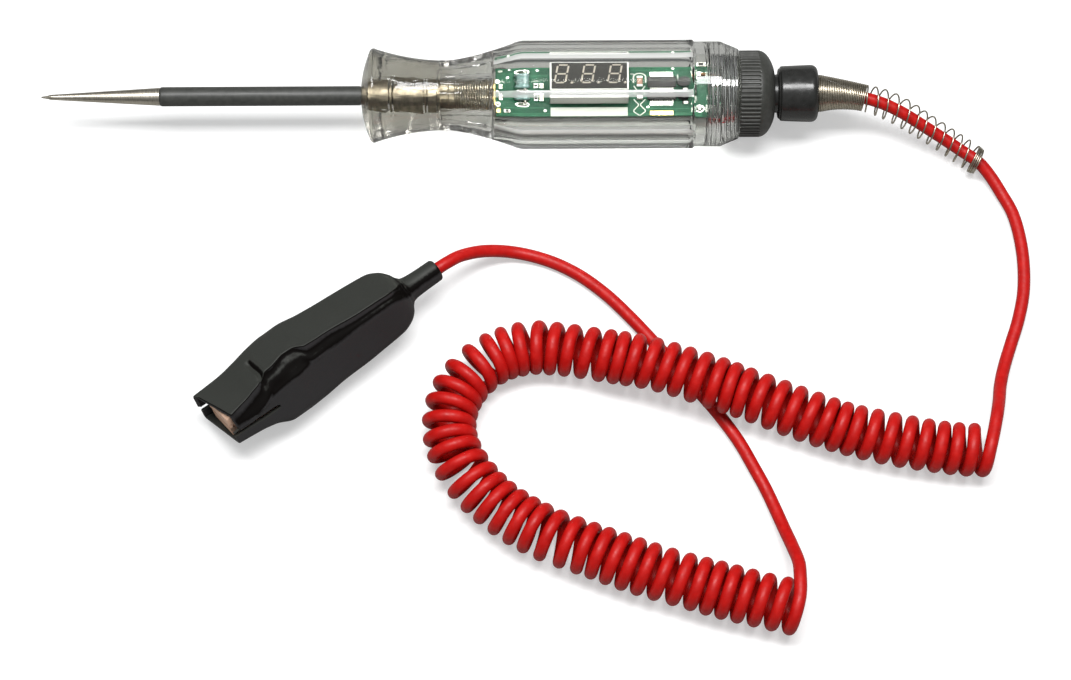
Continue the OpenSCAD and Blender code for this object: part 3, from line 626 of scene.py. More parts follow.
# ------------------------------------------------------------------ screw cap, bushing and springs
m = Mat("cap_black")
m.color(m.ramp(m.noise(900.0, 3.0), [(0.3, (0.030, 0.031, 0.027)), (0.7, (0.046, 0.047, 0.042))]))
m.rough(m.rng(m.noise(500.0, 3.0), 0.3, 0.7, 0.40, 0.52))
m.bump(m.noise(5200.0, 2.0, 0.6), 1.0, 0.025)
CAPM = m.m
RIBS = 60
prof = [(82.6, 9.4), (82.6, 10.9), (82.75, 11.05)]
prof += [(x, 11.1) for x in np.arange(82.9, 88.8, 0.12)]
prof += [(88.9, 11.5), (89.02, 11.7), (89.04, 11.9), (89.06, 12.1), (89.15, 12.28), (89.3, 12.4), (89.5, 12.45)]
prof += [(x, 12.45) for x in np.linspace(89.75, 94.0, 10)] + [(94.25, 12.45), (94.45, 12.45), (94.6, 12.45), (94.75, 12.45), (94.9, 12.44), (95.05, 12.42), (95.25, 12.38), (95.5, 12.31), (95.8, 12.2),
         (96.2, 11.98), (96.6, 11.72), (97.1, 11.26), (97.6, 10.65), (98.0, 10.02), (98.4, 9.3), (98.7, 8.62), (99.0, 7.85), (99.17, 7.2), (99.28, 6.6), (99.33, 6.1), (99.35, 5.65), (95.6, 5.65), (95.6, 9.4)]
segs = RIBS * 10
V = []
for x, R in prof:
    for k in range(segs):
        a = 2 * math.pi * k / segs
        r = R
        if 89.1 < x < 94.95 and R > 12.2:
            u = abs(((k / 10.0) % 1.0) - 0.5) * 2            # 1 at the middle of a rib, 0 in a groove
            g = 1 - min(1.0, max(0.0, (u - 0.18) / 0.34))
            g = g * g * (3 - 2 * g)
            end = min(1.0, max(0.0, (x - 89.1) / 0.3)) * min(1.0, max(0.0, (94.95 - x) / 0.45))
            r = R - 0.42 * g * end
        if 82.85 < x < 88.85:
            ph = ((x - 1.27 * (-a / (2 * math.pi))) / 1.27) % 1.0
            fade = min(1, (x - 82.85) / 0.5, (88.85 - x) / 0.4)
            r = R + 0.62 * max(0.0, (1 - abs(2 * ph - 1)) * 1.2 - 0.1) * fade
        V.append((x, -r * math.sin(a), AZ + r * math.cos(a)))
F = grid_faces(len(prof), segs, close_n=True)
cap = new_mesh("screw_cap", V, F, CAPM)
fix_normals(cap)
cap.data.set_sharp_from_angle(angle=math.radians(60))
put(cap, "end_cap", slot="black_cap")

m = Mat("bushing_black")
m.color(m.ramp(m.noise(600.0, 3.0), [(0.3, (0.013, 0.013, 0.012)), (0.7, (0.022, 0.022, 0.021))]))
m.rough(m.rng(m.noise(420.0, 3.0, 0.6), 0.35, 0.7, 0.17, 0.30))
m.bump(m.noise(330.0, 3.0, 0.5), 1.0, 0.06)
BUSH = m.m
prof = [(91.4, 1.85), (91.4, 6.8), (91.8, 7.2), (95.2, 7.2), (95.5, 6.9), (95.5, 5.6), (97, 5.55), (99.0, 5.5), (99.9, 5.5), (100.2, 5.55), (100.32, 5.75), (100.36, 6.2), (100.38, 6.75), (100.42, 6.95), (100.52, 7.12),
        (100.7, 7.22), (100.85, 7.26), (100.95, 7.36), (101.03, 7.58), (101.12, 7.74), (101.3, 7.84), (101.7, 7.9), (103, 7.96), (105, 8.04), (107, 8.12), (109.0, 8.18),
        (109.8, 8.2), (110.3, 8.15), (110.7, 8.03), (111.05, 7.83), (111.35, 7.55), (111.55, 7.25), (111.68, 6.95), (111.7, 6.6), (111.7, 5.9), (111.62, 5.68), (111.4, 5.6), (108, 5.6), (107.4, 5.6), (107.4, 1.85)]
V, F = lathe_data(prof, 120, closed=True)
V = np.array(V)
bush = new_mesh("cord_bushing_gloss", V, F, BUSH)
fix_normals(bush)
bush.data.set_sharp_from_angle(angle=math.radians(42))
put(bush, "cord_bushing", slot="black_bushing")

# strain relief: one wire, close wound to a waist, then a dozen open turns and four closed ones
sr = [[107.5, 0, 15.1], [111.6, 0, 15.1], [115.8, -0.1, 15.1], [120.6, -0.6, 15.05], [125.5, -1.5, 14.9], [131, -2.9, 13.9],
      [136.5, -5, 12.2], [142, -7.6, 9.9], [148, -10.6, 7.4], [153.5, -13.8, 5.6], [158.5, -17.2, 4.7]]
SC = sample(sr, 40)
ST, SN, SB = frames(SC)
Ss = arclen(SC)
st_t = np.arange(len(SC)) / 40
s_closed = float(np.interp(4.0, st_t, Ss))
W = 0.25


def closed_radius(t):
    return 5.4 if t < 1.25 else 3.95 + 1.45 * ((4 - t) / 2.75) ** 1.6


wire = []
s_now, ang = 0.0, 0.0
s_end = Ss[-1]
OPEN = 12
open_pitch = (s_end - 1.0 - s_closed) / OPEN
dA = 2 * math.pi / 30
while s_now < s_end + 0.0:
    t = float(np.interp(s_now, Ss, st_t))
    c = np.array([np.interp(s_now, Ss, SC[:, k]) for k in range(3)])
    N = np.array([np.interp(s_now, Ss, SN[:, k]) for k in range(3)])
    B = np.array([np.interp(s_now, Ss, SB[:, k]) for k in range(3)])
    T = np.array([np.interp(s_now, Ss, ST[:, k]) for k in range(3)])
    N /= np.linalg.norm(N)
    B /= np.linalg.norm(B)
    if s_now < s_closed:
        r = closed_radius(t) - W
        p = 0.5
    else:
        f = (s_now - s_closed) / (s_end - s_closed)
        r = 3.75 + 0.35 * math.sin(math.pi * min(1, f * 1.3)) * (0.4 + 0.6 * f) + 0.16 * math.sin(ang * 0.11)
        if f < 0.04:
            r = r * (f / 0.04) + (3.95 - W) * (1 - f / 0.04)
        p = open_pitch * (1 + 0.10 * math.sin(ang * 0.23 + 0.8))
        p = p if s_now < s_end - 1.9 else 0.52
    ang_ = ang
    lean = 0.0 if s_now < s_closed else 0.55 * min(1, (s_now - s_closed) / 4)
    wire.append(c + r * (math.cos(ang_) * N + math.sin(ang_) * B) - T * lean * math.cos(ang_) * 1.0)
    ang += dA
    s_now += p * dA / (2 * math.pi)
wire = np.array(wire)
wire[:, 2] = np.maximum(wire[:, 2], W + 0.02)
V, F = tube_data(wire, W, 8)
sp = new_mesh("strain_spring", V, F, SPRINGM)
put(sp, "strain_relief_spring", slot="spring_steel")
print("spring points", len(wire), "turns", ang / 2 / math.pi)
# ------------------------------------------------------------------ board and what stands on it
BZ = 1.4
CR, SR = math.cos(ROLL), math.sin(ROLL)


def brd(V):
    """Board coordinates (about the axis, before the roll) to the tester's."""
    V = np.asarray(V, float)
    return np.stack([V[:, 0], V[:, 1] * CR - V[:, 2] * SR, AZ + V[:, 1] * SR + V[:, 2] * CR], 1)


def block(x0, x1, y0, y1, z0, z1, b=0.05):
    """A box with its edges taken off."""
    V, idx = [], {}
    for sx in (0, 1):
        for sy in (0, 1):
            for sz in (0, 1):
                c = (x1 if sx else x0, y1 if sy else y0, z1 if sz else z0)
                g = (-b if sx else b, -b if sy else b, -b if sz else b)
                for k in range(3):
                    idx[(sx, sy, sz, k)] = len(V)
                    V.append(tuple(c[i] + (0 if i == k else g[i]) for i in range(3)))
    F = []
    for k in range(3):                      # the six faces
        i, j = [q for q in range(3) if q != k]
        for s_ in (0, 1):
            ring_ = []
            for u, v in ((0, 0), (1, 0), (1, 1), (0, 1)):
                t = [0, 0, 0]
                t[k], t[i], t[j] = s_, u, v
                ring_.append(idx[(t[0], t[1], t[2], k)])
            F.append(tuple(ring_))
    for k in range(3):                      # the twelve edges
        i, j = [q for q in range(3) if q != k]
        for u in (0, 1):
            for v in (0, 1):
                a = [0, 0, 0]
                a[i], a[j] = u, v
                lo, hi = list(a), list(a)
                lo[k], hi[k] = 0, 1
                F.append((idx[(*lo, i)], idx[(*hi, i)], idx[(*hi, j)], idx[(*lo, j)]))
    for sx in (0, 1):
        for sy in (0, 1):
            for sz in (0, 1):
                F.append(tuple(idx[(sx, sy, sz, k)] for k in range(3)))
    return np.array(V, float), F


def turn(part, cx, cy, deg):
    V, F = part
    a = math.radians(deg)
    V = V.copy()
    x, y = V[:, 0].copy(), V[:, 1].copy()
    V[:, 0] = cx + x * math.cos(a) - y * math.sin(a)
    V[:, 1] = cy + x * math.sin(a) + y * math.cos(a)
    return V, F


def ribbon(pts, w, z0, z1):
    """A flat printed line through pts, w wide, between two heights."""
    P = np.asarray(pts, float)
    T = np.gradient(P, axis=0)
    T /= np.linalg.norm(T, axis=1)[:, None]
    Nn = np.stack([-T[:, 1], T[:, 0]], 1)
    L, R = P + Nn * w / 2, P - Nn * w / 2
    V = []
    for i in range(len(P)):
        V += [(*L[i], z0), (*R[i], z0), (*R[i], z1), (*L[i], z1)]
    F = grid_faces(len(P), 4)
    F += [(3, 2, 1, 0), tuple(4 * (len(P) - 1) + k for k in range(4))]
    return np.array(V, float), F


def disc(cx, cy, r, z0, z1, n=20, r_in=0.0):
    a = np.arange(n) * 2 * math.pi / n
    rows = [(r, z0), (r, z1)] + ([(r_in, z1), (r_in, z0)] if r_in else [(0.001, z1), (0.001, z0)])
    V = np.concatenate([np.stack([cx + q * np.cos(a), cy + q * np.sin(a), np.full(n, z)], 1) for q, z in rows])
    return V, grid_faces(4, n, close_n=True)


def board_piece(name, parts, mat, slot, *replaced, smooth=False, sharp=None):
    V, F = merge(parts)
    ob = new_mesh(name, brd(V), F, mat, smooth=smooth, sharp=sharp)
    fix_normals(ob)
    return put(ob, *replaced, slot=slot)


# green mask over glass cloth: a faint weave, copper pours a shade lighter, a soft gloss
m = Mat("green_mask")
pour = m.noise(160.0, 1.0, 0.3)
fine = m.noise(2600.0, 2.0, 0.5)
m.color(m.ramp(m.math("ADD", m.math("MULTIPLY", pour, 0.8), m.math("MULTIPLY", fine, 0.2)),
               [(0.40, (0.005, 0.050, 0.023)), (0.50, (0.007, 0.064, 0.030)), (0.60, (0.010, 0.080, 0.039))]))
m.rough(m.rng(fine, 0.3, 0.7, 0.24, 0.36))
m.b.inputs["Specular IOR Level"].default_value = 0.06
m.bump(m.math("ADD", m.math("MULTIPLY", m.noise(1.0, 1.0, vec=m.scaled(3200, 900, 900)), 0.5), m.math("MULTIPLY", m.noise(1.0, 1.0, vec=m.scaled(900, 3200, 900)), 0.5)), 1.0, 0.012)
MASK = m.m
TRACE = simple("mask_over_copper", (0.014, 0.11, 0.052), (0.019, 0.135, 0.064), rough=0.28, spec=0.08, scale=900.0, bump=0.006, bump_scale=3000)
SILK = simple("silkscreen", (0.44, 0.46, 0.41), (0.54, 0.56, 0.51), spec=0.1, rough=0.55, scale=4000.0, bump=0.01, bump_scale=6000)
GOLD = simple("gold_pads", (0.60, 0.40, 0.13), (0.80, 0.58, 0.24), rough=0.25, rough2=0.4, metal=1.0, scale=2500.0, bump=0.01)
WHITEPL = simple("display_white", (0.56, 0.56, 0.53), (0.62, 0.62, 0.59), spec=0.15, rough=0.38, rough2=0.5, scale=1500.0, bump=0.012, bump_scale=3500)
FACE = simple("display_face", (0.018, 0.0175, 0.0155), (0.028, 0.027, 0.024), rough=0.42, rough2=0.55, spec=0.06, scale=1200.0, bump=0.012, bump_scale=5200)
SEG = simple("segment_resin", (0.27, 0.24, 0.20), (0.35, 0.315, 0.27), spec=0.1, rough=0.45, rough2=0.6, scale=3200.0, bump=0.01, bump_scale=5200)
CHIP = simple("chip_epoxy", (0.022, 0.021, 0.020), (0.034, 0.033, 0.031), spec=0.15, rough=0.42, rough2=0.58, scale=2600.0, bump=0.016, bump_scale=7000)
BROWN = simple("ceramic_brown", (0.20, 0.085, 0.045), (0.27, 0.13, 0.075), rough=0.4, rough2=0.55, scale=3000.0, bump=0.012, bump_scale=5000)
CERAM = simple("ceramic_white", (0.66, 0.65, 0.58), (0.78, 0.77, 0.70), rough=0.4, rough2=0.5, scale=2500.0, bump=0.01, bump_scale=5000)
BEIGE = simple("ceramic_beige", (0.55, 0.50, 0.37), (0.66, 0.61, 0.48), rough=0.4, rough2=0.5, scale=2500.0, bump=0.01, bump_scale=5000)
COPPERW = simple("copper_strands", (0.55, 0.24, 0.11), (0.78, 0.40, 0.22), rough=0.26, rough2=0.4, metal=1.0, scale=1600.0, bump=0.02, bump_scale=4000)

for name, mt in (("circuit_board", MASK), ("display_housing", WHITEPL), ("display_segments", SEG), ("chip_leads", TIN), ("solder_joints", TIN), ("ground_wire", COPPERW), ("round_inductor", CHIP)):
    ob = nodes[name]
    ob.data.materials.clear()
    ob.data.materials.append(mt)

# dark face of the display, inside a narrow white rim
DY0, DX0, DZ = -1.6, 34.8, 7.4
board_piece("display_face_plate", [block(DX0 + 0.45, DX0 + 22.05, DY0 + 0.3, DY0 + 9.7, DZ - 0.05, DZ + 0.07, 0.02)], FACE, "display_plastic")

# a whiter sheet on the module's near side: painted light, as bright as if a lamp lit that side from the front
SIDE_PAINTED_LIGHT = simple("display_side_painted_light", (0.80, 0.80, 0.77), (0.86, 0.86, 0.83), spec=0.15, rough=0.45, scale=1500.0, bump=0.008, bump_scale=3500)
board_piece("display_side_painted_light_sheet", [block(DX0 + 0.25, DX0 + 22.25, DY0 - 0.05, DY0 + 0.03, BZ + 0.15, DZ - 0.12, 0.01)], SIDE_PAINTED_LIGHT, "display_plastic")

# tracks under the mask
t_ = []
for y in (8.75, -5.9, -6.5):
    t_.append(ribbon([(x, y) for x in np.linspace(21.5, 78.2, 30)], 0.3, BZ - 0.02, BZ + 0.018))
for x0, y0, x1, y1 in ((22.6, 6.4, 26.4, 6.4), (29.2, 5.2, 34.2, 5.2), (29.2, 4.5, 34.2, 4.5), (58, 8.0, 75.5, 8.0), (58, 7.2, 63.5, 7.2), (23, -3.4, 33, -3.4), (59, -3.9, 77, -3.9), (62.5, -4.6, 71.5, -4.6)):
    t_.append(ribbon([(x0, y0), ((x0 + x1) / 2, (y0 + y1) / 2), (x1, y1)], 0.28, BZ - 0.02, BZ + 0.018))
for k in range(14):
    x = 64.0 + 0.48 * k - 0.3
    t_.append(ribbon([(x, 6.2), (x, 7.0), (x + 0.25 * (k - 6.5) * 0.3, 7.7)], 0.16, BZ - 0.02, BZ + 0.018))
board_piece("board_tracks", t_, TRACE, "green_board")

# printed white lines
s_ = []
z0, z1 = BZ - 0.02, BZ + 0.03
s_.append(ribbon([(21.4, 7.95), (22.2, 7.95), (23.0, 7.95)], 0.34, z0, z1))
arc_ = [(60.6 + 1.75 * math.cos(a), 4.2 + 1.7 * math.sin(a)) for a in np.linspace(0, math.pi, 13)]
s_.append(ribbon([(62.35, 1.6), (62.35, 3.0)] + arc_ + [(58.85, 3.0), (58.85, 1.6)], 0.42, z0, z1))
s_.append(ribbon([(58.95, 0.2), (59.5, -0.9), (60.2, -1.9), (60.15, -2.6), (59.5, -3.6), (58.9, -4.5), (58.9, -5.2), (59.9, -6.2), (60.5, -6.75)], 0.34, z0, z1))
s_.append(ribbon([(62.15, 0.2), (61.5, -0.9), (60.8, -1.9), (60.85, -2.6), (61.5, -3.6), (62.15, -4.5), (62.15, -5.2), (61.2, -6.2), (60.6, -6.75)], 0.34, z0, z1))
s_.append(ribbon([(21.3 + 1.5 * math.cos(a) + 0.9, 2.0 + 1.0 * math.sin(a)) for a in np.linspace(0.15 * math.pi, 0.9 * math.pi, 9)], 0.34, z0, z1))
s_.append(ribbon([(30.0, 2.4), (30.8, 2.75), (31.6, 2.4)], 0.3, z0, z1))
s_.append(ribbon([(58.0, 5.6), (58.7, 5.6), (59.3, 5.2)], 0.3, z0, z1))
s_.append(ribbon([(71.55, 5.2), (71.55, 4.2), (71.55, 3.2)], 0.3, z0, z1))
# a printed panel in front of the display
s_.append(block(DX0 + 0.2, DX0 + 22.3, -6.95, -3.25, z0, z1, 0.01))
board_piece("board_print", s_, SILK, "ceramic_white")

# bare pads: the chip's rows, gold test points in front of it, and those under the small parts
g_, p_ = [], []
for k in range(14):
    x = 64.0 + 0.48 * k
    p_.append(block(x - 0.45, x - 0.13, 5.0, 6.5, z0, BZ + 0.025, 0.01))
    p_.append(block(x - 0.45, x - 0.13, -2.5, -1.2, z0, BZ + 0.025, 0.01))
    g_.append(block(x - 0.47, x - 0.05, -6.6, -4.9, z0, BZ + 0.04, 0.012))
g_.append(block(20.4, 22.0, -5.6, -4.2, z0, BZ + 0.04, 0.02))
for cx, cy in ((27.8, 6.9), (27.8, -1.9), (21.2, 3.0), (21.2, -1.9), (77.6, -4.6), (77.6, 5.2)):
    p_.append(disc(cx, cy, 1.05, z0, BZ + 0.025, 24))
for cx, cy in ((24.6, 4.6), (31.2, 7.6), (33.4, -4.6), (62.9, -3.2), (75.9, 6.6), (76.2, -1.8), (70.2, 8.3), (25.2, 8.4)):
    p_.append(disc(cx, cy, 0.42, z0, BZ + 0.025, 16, 0.18))
board_piece("board_gold_pads", g_, GOLD, "brass")
board_piece("board_pads", p_, TIN, "tinned_metal")

# chip body with its chamfered edges, a pin-one dimple left as a shallow ring
board_piece("chip_body", [block(62.8, 71.0, -0.4, 4.0, BZ + 0.1, BZ + 1.7, 0.16), disc(64.0, 0.6, 0.42, BZ + 1.66, BZ + 1.715, 20, 0.34)], CHIP, "chip_black", "controller_chip")

# multilayer capacitor
board_piece("capacitor_body", [block(59.8, 61.4, 0.8, 3.62, BZ, BZ + 1.4, 0.1)], BROWN, "ceramic_brown", "ceramic_capacitor")
board_piece("capacitor_ends", [block(59.76, 61.44, 0.02, 0.85, BZ - 0.01, BZ + 1.3, 0.1), block(59.76, 61.44, 3.55, 4.4, BZ - 0.01, BZ + 1.3, 0.1)], CERAM, "ceramic_white")

# small parts: body, end caps and, on some, a dark top
bodies, ends, tops, beige = [], [], [], []
for n_, (cx, cy, deg) in enumerate([(22.4, 0.7, 90), (30.8, 0.6, 90), (32.4, 0.5, 90), (73.8, -1.4, 0), (78, 8.4, 0), (24, -5, 0)]):
    L = 0.95
    (beige if n_ in (0, 2) else bodies).append(turn(block(-L + 0.3, L - 0.3, -0.58, 0.58, BZ, BZ + 0.55, 0.05), cx, cy, deg))
    for s_x in (-1, 1):
        x0, x1 = sorted((s_x * (L + 0.03), s_x * (L - 0.38)))
        (tops if n_ == 3 else ends).append(turn(block(x0, x1, -0.6, 0.6, BZ - 0.01, BZ + 0.58, 0.06), cx, cy, deg))
    if n_ in (1, 4, 5):
        tops.append(turn(block(-0.48, 0.48, -0.42, 0.42, BZ + 0.5, BZ + 0.585, 0.02), cx, cy, deg))
board_piece("chip_part_bodies", bodies, CERAM, "ceramic_white", "chip_resistors")
board_piece("chip_part_beige", beige, BEIGE, "ceramic_white")
board_piece("chip_part_ends", ends, TIN, "tinned_metal")
board_piece("chip_part_tops", tops, CHIP, "chip_black")

# resistor: lacquered body with rolled ends, rings and bare leads
BLUE = simple("resistor_lacquer", (0.13, 0.215, 0.205), (0.18, 0.28, 0.265), rough=0.22, rough2=0.32, scale=1800.0, bump=0.01, bump_scale=3600)
RINGS = simple("resistor_rings", (0.13, 0.17, 0.17), (0.20, 0.24, 0.24), rough=0.3, scale=1800.0)


def along_y(profile, cx, cz, segs=40):
    a = np.arange(segs) * 2 * math.pi / segs
    V = np.concatenate([np.stack([cx + r * np.cos(a), np.full(segs, y), cz + r * np.sin(a)], 1) for y, r in profile])
    return V, grid_faces(len(profile), segs)


rp_ = [(-0.62, 0.3), (-0.6, 0.75), (-0.45, 1.02), (-0.2, 1.16), (0.1, 1.2), (0.55, 1.19), (0.85, 1.1), (1.1, 1.01), (1.5, 1.0), (3.5, 1.0), (3.9, 1.01), (4.15, 1.1), (4.45, 1.19), (4.9, 1.2), (5.2, 1.16), (5.45, 1.02), (5.6, 0.75), (5.62, 0.3)]
board_piece("resistor_body", [along_y(rp_, 27.8, BZ + 1.3)], BLUE, "resistor_blue", "axial_resistor", smooth=True)
rg_ = []
for y, w_ in ((1.45, 0.34), (2.25, 0.34), (3.0, 0.34), (4.7, 0.4)):
    r = 1.015 if y < 4 else 1.215
    rg_.append(along_y([(y - w_ / 2, r - 0.03), (y - w_ / 2 + 0.03, r), (y + w_ / 2 - 0.03, r), (y + w_ / 2, r - 0.03)], 27.8, BZ + 1.3))
board_piece("resistor_rings", rg_, RINGS, "resistor_blue", smooth=True, sharp=40)
ld_ = []
for pts in ([(27.8, -0.5, 2.7), (27.8, -0.9, 2.7), (27.8, -1.4, 2.62), (27.8, -1.75, 2.3), (27.8, -1.9, 1.9), (27.8, -1.9, -0.6)],
            [(27.8, 5.5, 2.7), (27.8, 6.0, 2.7), (27.8, 6.5, 2.62), (27.8, 6.8, 2.3), (27.8, 6.9, 1.9), (27.8, 6.9, -0.6)]):
    ld_.append(tube_data(sample(pts, 6), 0.28, 12, up=(1, 0, 0)))
board_piece("resistor_leads", ld_, TIN, "tinned_metal", smooth=True)
# ------------------------------------------------------------------ boot and jaws of the clip
CLIP_AT = np.array([-39.2, -84.9, 12.4])
CLIP_R = np.array(Matrix.Rotation(math.radians(216.9), 3, "Z") @ Matrix.Rotation(math.radians(28), 3, "X"))


def onclip(V):
    return CLIP_AT + np.asarray(V, float) @ CLIP_R.T


def smooth_table(xs, ys, x):
    """Monotone cubic through the table, so that a station's value is never overshot."""
    xs, ys = np.asarray(xs, float), np.asarray(ys, float)
    h = np.diff(xs)
    dl = np.diff(ys) / h
    g = np.zeros(len(xs))
    for i in range(1, len(xs) - 1):
        if dl[i - 1] * dl[i] > 0:
            w1, w2 = 2 * h[i] + h[i - 1], h[i] + 2 * h[i - 1]
            g[i] = (w1 + w2) / (w1 / dl[i - 1] + w2 / dl[i])
    g[0], g[-1] = dl[0], dl[-1]
    i = int(np.clip(np.searchsorted(xs, x) - 1, 0, len(h) - 1))
    u = (x - xs[i]) / h[i]
    return ((2 * u ** 3 - 3 * u ** 2 + 1) * ys[i] + (u ** 3 - 2 * u ** 2 + u) * h[i] * g[i]
            + (-2 * u ** 3 + 3 * u ** 2) * ys[i + 1] + (u ** 3 - u ** 2) * h[i] * g[i + 1])


# x, near side, far side, top, bottom, radius of the far top and the bottom corners
BOOT = np.array([[-52.3, 3.2, -3.2, 3.2, -3.2, 3.15], [-44, 3.5, -3.5, 3.5, -3.5, 3.45], [-41.2, 4.1, -4.1, 4.0, -4.0, 3.5],
                 [-39.7, 5.6, -5.8, 5.6, -5.6, 3.5], [-37.6, 6.75, -7.2, 7.0, -6.7, 3.2], [-34, 7.5, -8.0, 8.0, -7.4, 2.6],
                 [-24, 7.8, -8.3, 8.6, -8.2, 2.4], [-12, 8.1, -8.9, 9.4, -9.2, 3.0], [-5, 8.6, -10.1, 10.2, -10.2, 4.0],
                 [0, 9.3, -10.3, 10.4, -10.5, 5.0], [5, 9.2, -9.7, 9.6, -10.0, 4.0], [10.5, 8.9, -8.9, 7.8, -6.8, 2.2],
                 [16, 9.0, -8.7, 6.5, -5.4, 1.8], [25, 9.0, -9.0, 5.4, -4.5, 1.4]])
# where the flat top ends on the near side, and how far down the slope beside it reaches
EDGE_X = [-52.3, -44, -41.2, -39.7, -37.6, -34, -24, -14, -9, -6.6, -5.2, -3.6, -1, 2, 4.2, 6.2, 8.2, 11, 16, 25]
EDGE_Y = [0.4, 0.5, 0.9, 2.6, 4.6, 6.0, 6.2, 5.7, 6.1, 6.2, 5.3, 4.4, 4.3, 4.9, 5.2, 5.0, 6.0, 6.6, 6.9, 7.3]
DROP_X = [-52.3, -44, -41.2, -39.7, -37.6, -34, -24, -12, -5, 0, 5, 10.5, 16, 25]
DROP_Z = [3.0, 3.3, 3.3, 3.6, 3.2, 2.8, 3.4, 4.6, 5.2, 5.6, 5.4, 5.4, 5.3, 4.4]
CREASE = [(7.7, -3.9), (7.9, -1.5), (7.8, 0.8), (7.6, 3.0), (7.9, 4.8), (8.6, 6.2), (9.6, 7.0)]


def seg_dist(px, py, line):
    best, where = 1e9, 0.0
    tot = 0.0
    for (ax, ay), (bx, by) in zip(line[:-1], line[1:]):
        L2 = (bx - ax) ** 2 + (by - ay) ** 2
        t = min(1.0, max(0.0, ((px - ax) * (bx - ax) + (py - ay) * (by - ay)) / L2))
        dd = math.hypot(px - ax - t * (bx - ax), py - ay - t * (by - ay))
        if dd < best:
            best, where = dd, tot + t * math.sqrt(L2)
        tot += math.sqrt(L2)
    return best, where / tot


def boot_ring(x, inset=0.0, round_off=True):
    """Closed section of the boot at x; inset draws it in."""
    yn, yf, zt, zb, r = (smooth_table(BOOT[:, 0], BOOT[:, k], x) for k in range(1, 6))
    ye = smooth_table(EDGE_X, EDGE_Y, x)
    dz = smooth_table(DROP_X, DROP_Z, x)
    yn, yf, zt, zb, ye = yn - inset, yf + inset, zt - inset, zb + inset, ye - inset * 0.5
    r = max(r - inset, 0.45)
    dz = max(dz - inset * 0.6, 0.6)
    pts = []
    zs, s = slot_line(x)
    # near side, from the slot up to the foot of the slope
    foot = (yn, zt - dz)
    head = (ye, zt)
    fr = min(0.9, 0.3 * math.hypot(head[0] - foot[0], head[1] - foot[1]))
    dx_, dz_ = head[0] - foot[0], head[1] - foot[1]
    L = math.hypot(dx_, dz_)
    ux, uz = dx_ / L, dz_ / L
    for k in range(5):
        pts.append((yn, zs + s + (foot[1] - fr - zs - s) * k / 4.0))
    for k in range(1, 6):                        # soft corner at the foot
        t = k / 5.0
        p0, p1, p2 = (yn, foot[1] - fr), foot, (foot[0] + ux * fr, foot[1] + uz * fr)
        pts.append(((1 - t) ** 2 * p0[0] + 2 * t * (1 - t) * p1[0] + t * t * p2[0], (1 - t) ** 2 * p0[1] + 2 * t * (1 - t) * p1[1] + t * t * p2[1]))
    hr = min(0.4, 0.25 * L)
    q0 = (head[0] - ux * hr, head[1] - uz * hr)
    a0 = pts[-1]
    for k in range(1, 6):
        t = k / 5.0
        bow = 0.22 * math.sin(math.pi * t)
        pts.append((a0[0] + (q0[0] - a0[0]) * t - uz * -bow * -1, a0[1] + (q0[1] - a0[1]) * t + ux * -bow))
    for k in range(1, 7):                        # crisper corner at the top
        t = k / 6.0
        p0, p1, p2 = q0, head, (head[0] - hr * 1.3, zt)
        pts.append(((1 - t) ** 2 * p0[0] + 2 * t * (1 - t) * p1[0] + t * t * p2[0], (1 - t) ** 2 * p0[1] + 2 * t * (1 - t) * p1[1] + t * t * p2[1]))
    # top, with a slight crown
    y0 = pts[-1][0]
    y1 = yf + r
    for k in range(1, 31):
        t = k / 31.0
        pts.append((y0 + (y1 - y0) * t, zt + 0.14 * math.sin(math.pi * t)))
    for k in range(0, 11):
        a = math.radians(90 + 9 * k)
        pts.append((yf + r + r * math.cos(a), zt - r + r * math.sin(a)))
    zc = zt - r
    for k in range(1, 5):
        pts.append((yf, zc + (zs + s - zc) * k / 4.0))
    pts.append((yf, zs))
    z2 = zb + r
    for k in range(0, 4):
        pts.append((yf, zs - s + (z2 - zs + s) * k / 4.0))
    for k in range(0, 9):
        a = math.radians(180 + 90 * k / 8)
        pts.append((yf + r + r * math.cos(a), zb + r + r * math.sin(a)))
    for k in range(1, 16):
        t = k / 16.0
        pts.append((yf + r + (yn - yf - 2 * r) * t, zb))
    for k in range(0, 11):
        a = math.radians(270 + 9 * k)
        pts.append((yn - r + r * math.cos(a), zb + r + r * math.sin(a)))
    for k in range(1, 5):
        pts.append((yn, z2 + (zs - s - z2) * k / 4.0))
    pts.append((yn, zs))
    P = np.array(pts)
    if x < -39.9 and round_off:                  # the sleeve round the cord is a plain tube
        t = sstep((-39.9 - x) / 1.7)
        ry = np.where(P_TAIL[:, 0] > 0, yn, -yf)
        rz = np.where(P_TAIL[:, 1] > 0, zt, -zb)
        P = (1 - t) * P + t * P_TAIL * np.stack([ry, rz], 1)
    return P


def slot_line(x):
    """Height of the mouth's slot between the lips and half its width at x."""
    zs = -0.75 + 0.5 * sstep((x - 11) / 10)
    if x < 7.2:
        return zs, 0.3
    return zs, 0.10 + 0.72 * math.sqrt(max(0.0, 1 - max(0.0, (9.3 - x) / 2.1) ** 2))


# evenly spread directions for the round part, from a ring that is nearly round
even = boot_ring(-40.6, round_off=False)
ang_ = np.unwrap(np.arctan2(even[:, 1] / 4.2, even[:, 0] / 4.2))
P_TAIL = np.stack([np.cos(ang_), np.sin(ang_)], 1)
ring0 = boot_ring(0.0)
NR = len(ring0)
J_FAR = int(np.argmin(np.abs(ring0[:, 1] - slot_line(0.0)[0]) + 100 * (ring0[:, 0] > 0)))     # the far side's point on the slot's line
S_FAR = (J_FAR - 1, J_FAR)                                           # ring segments that the slot takes out
S_NEAR = (NR - 2, NR - 1)


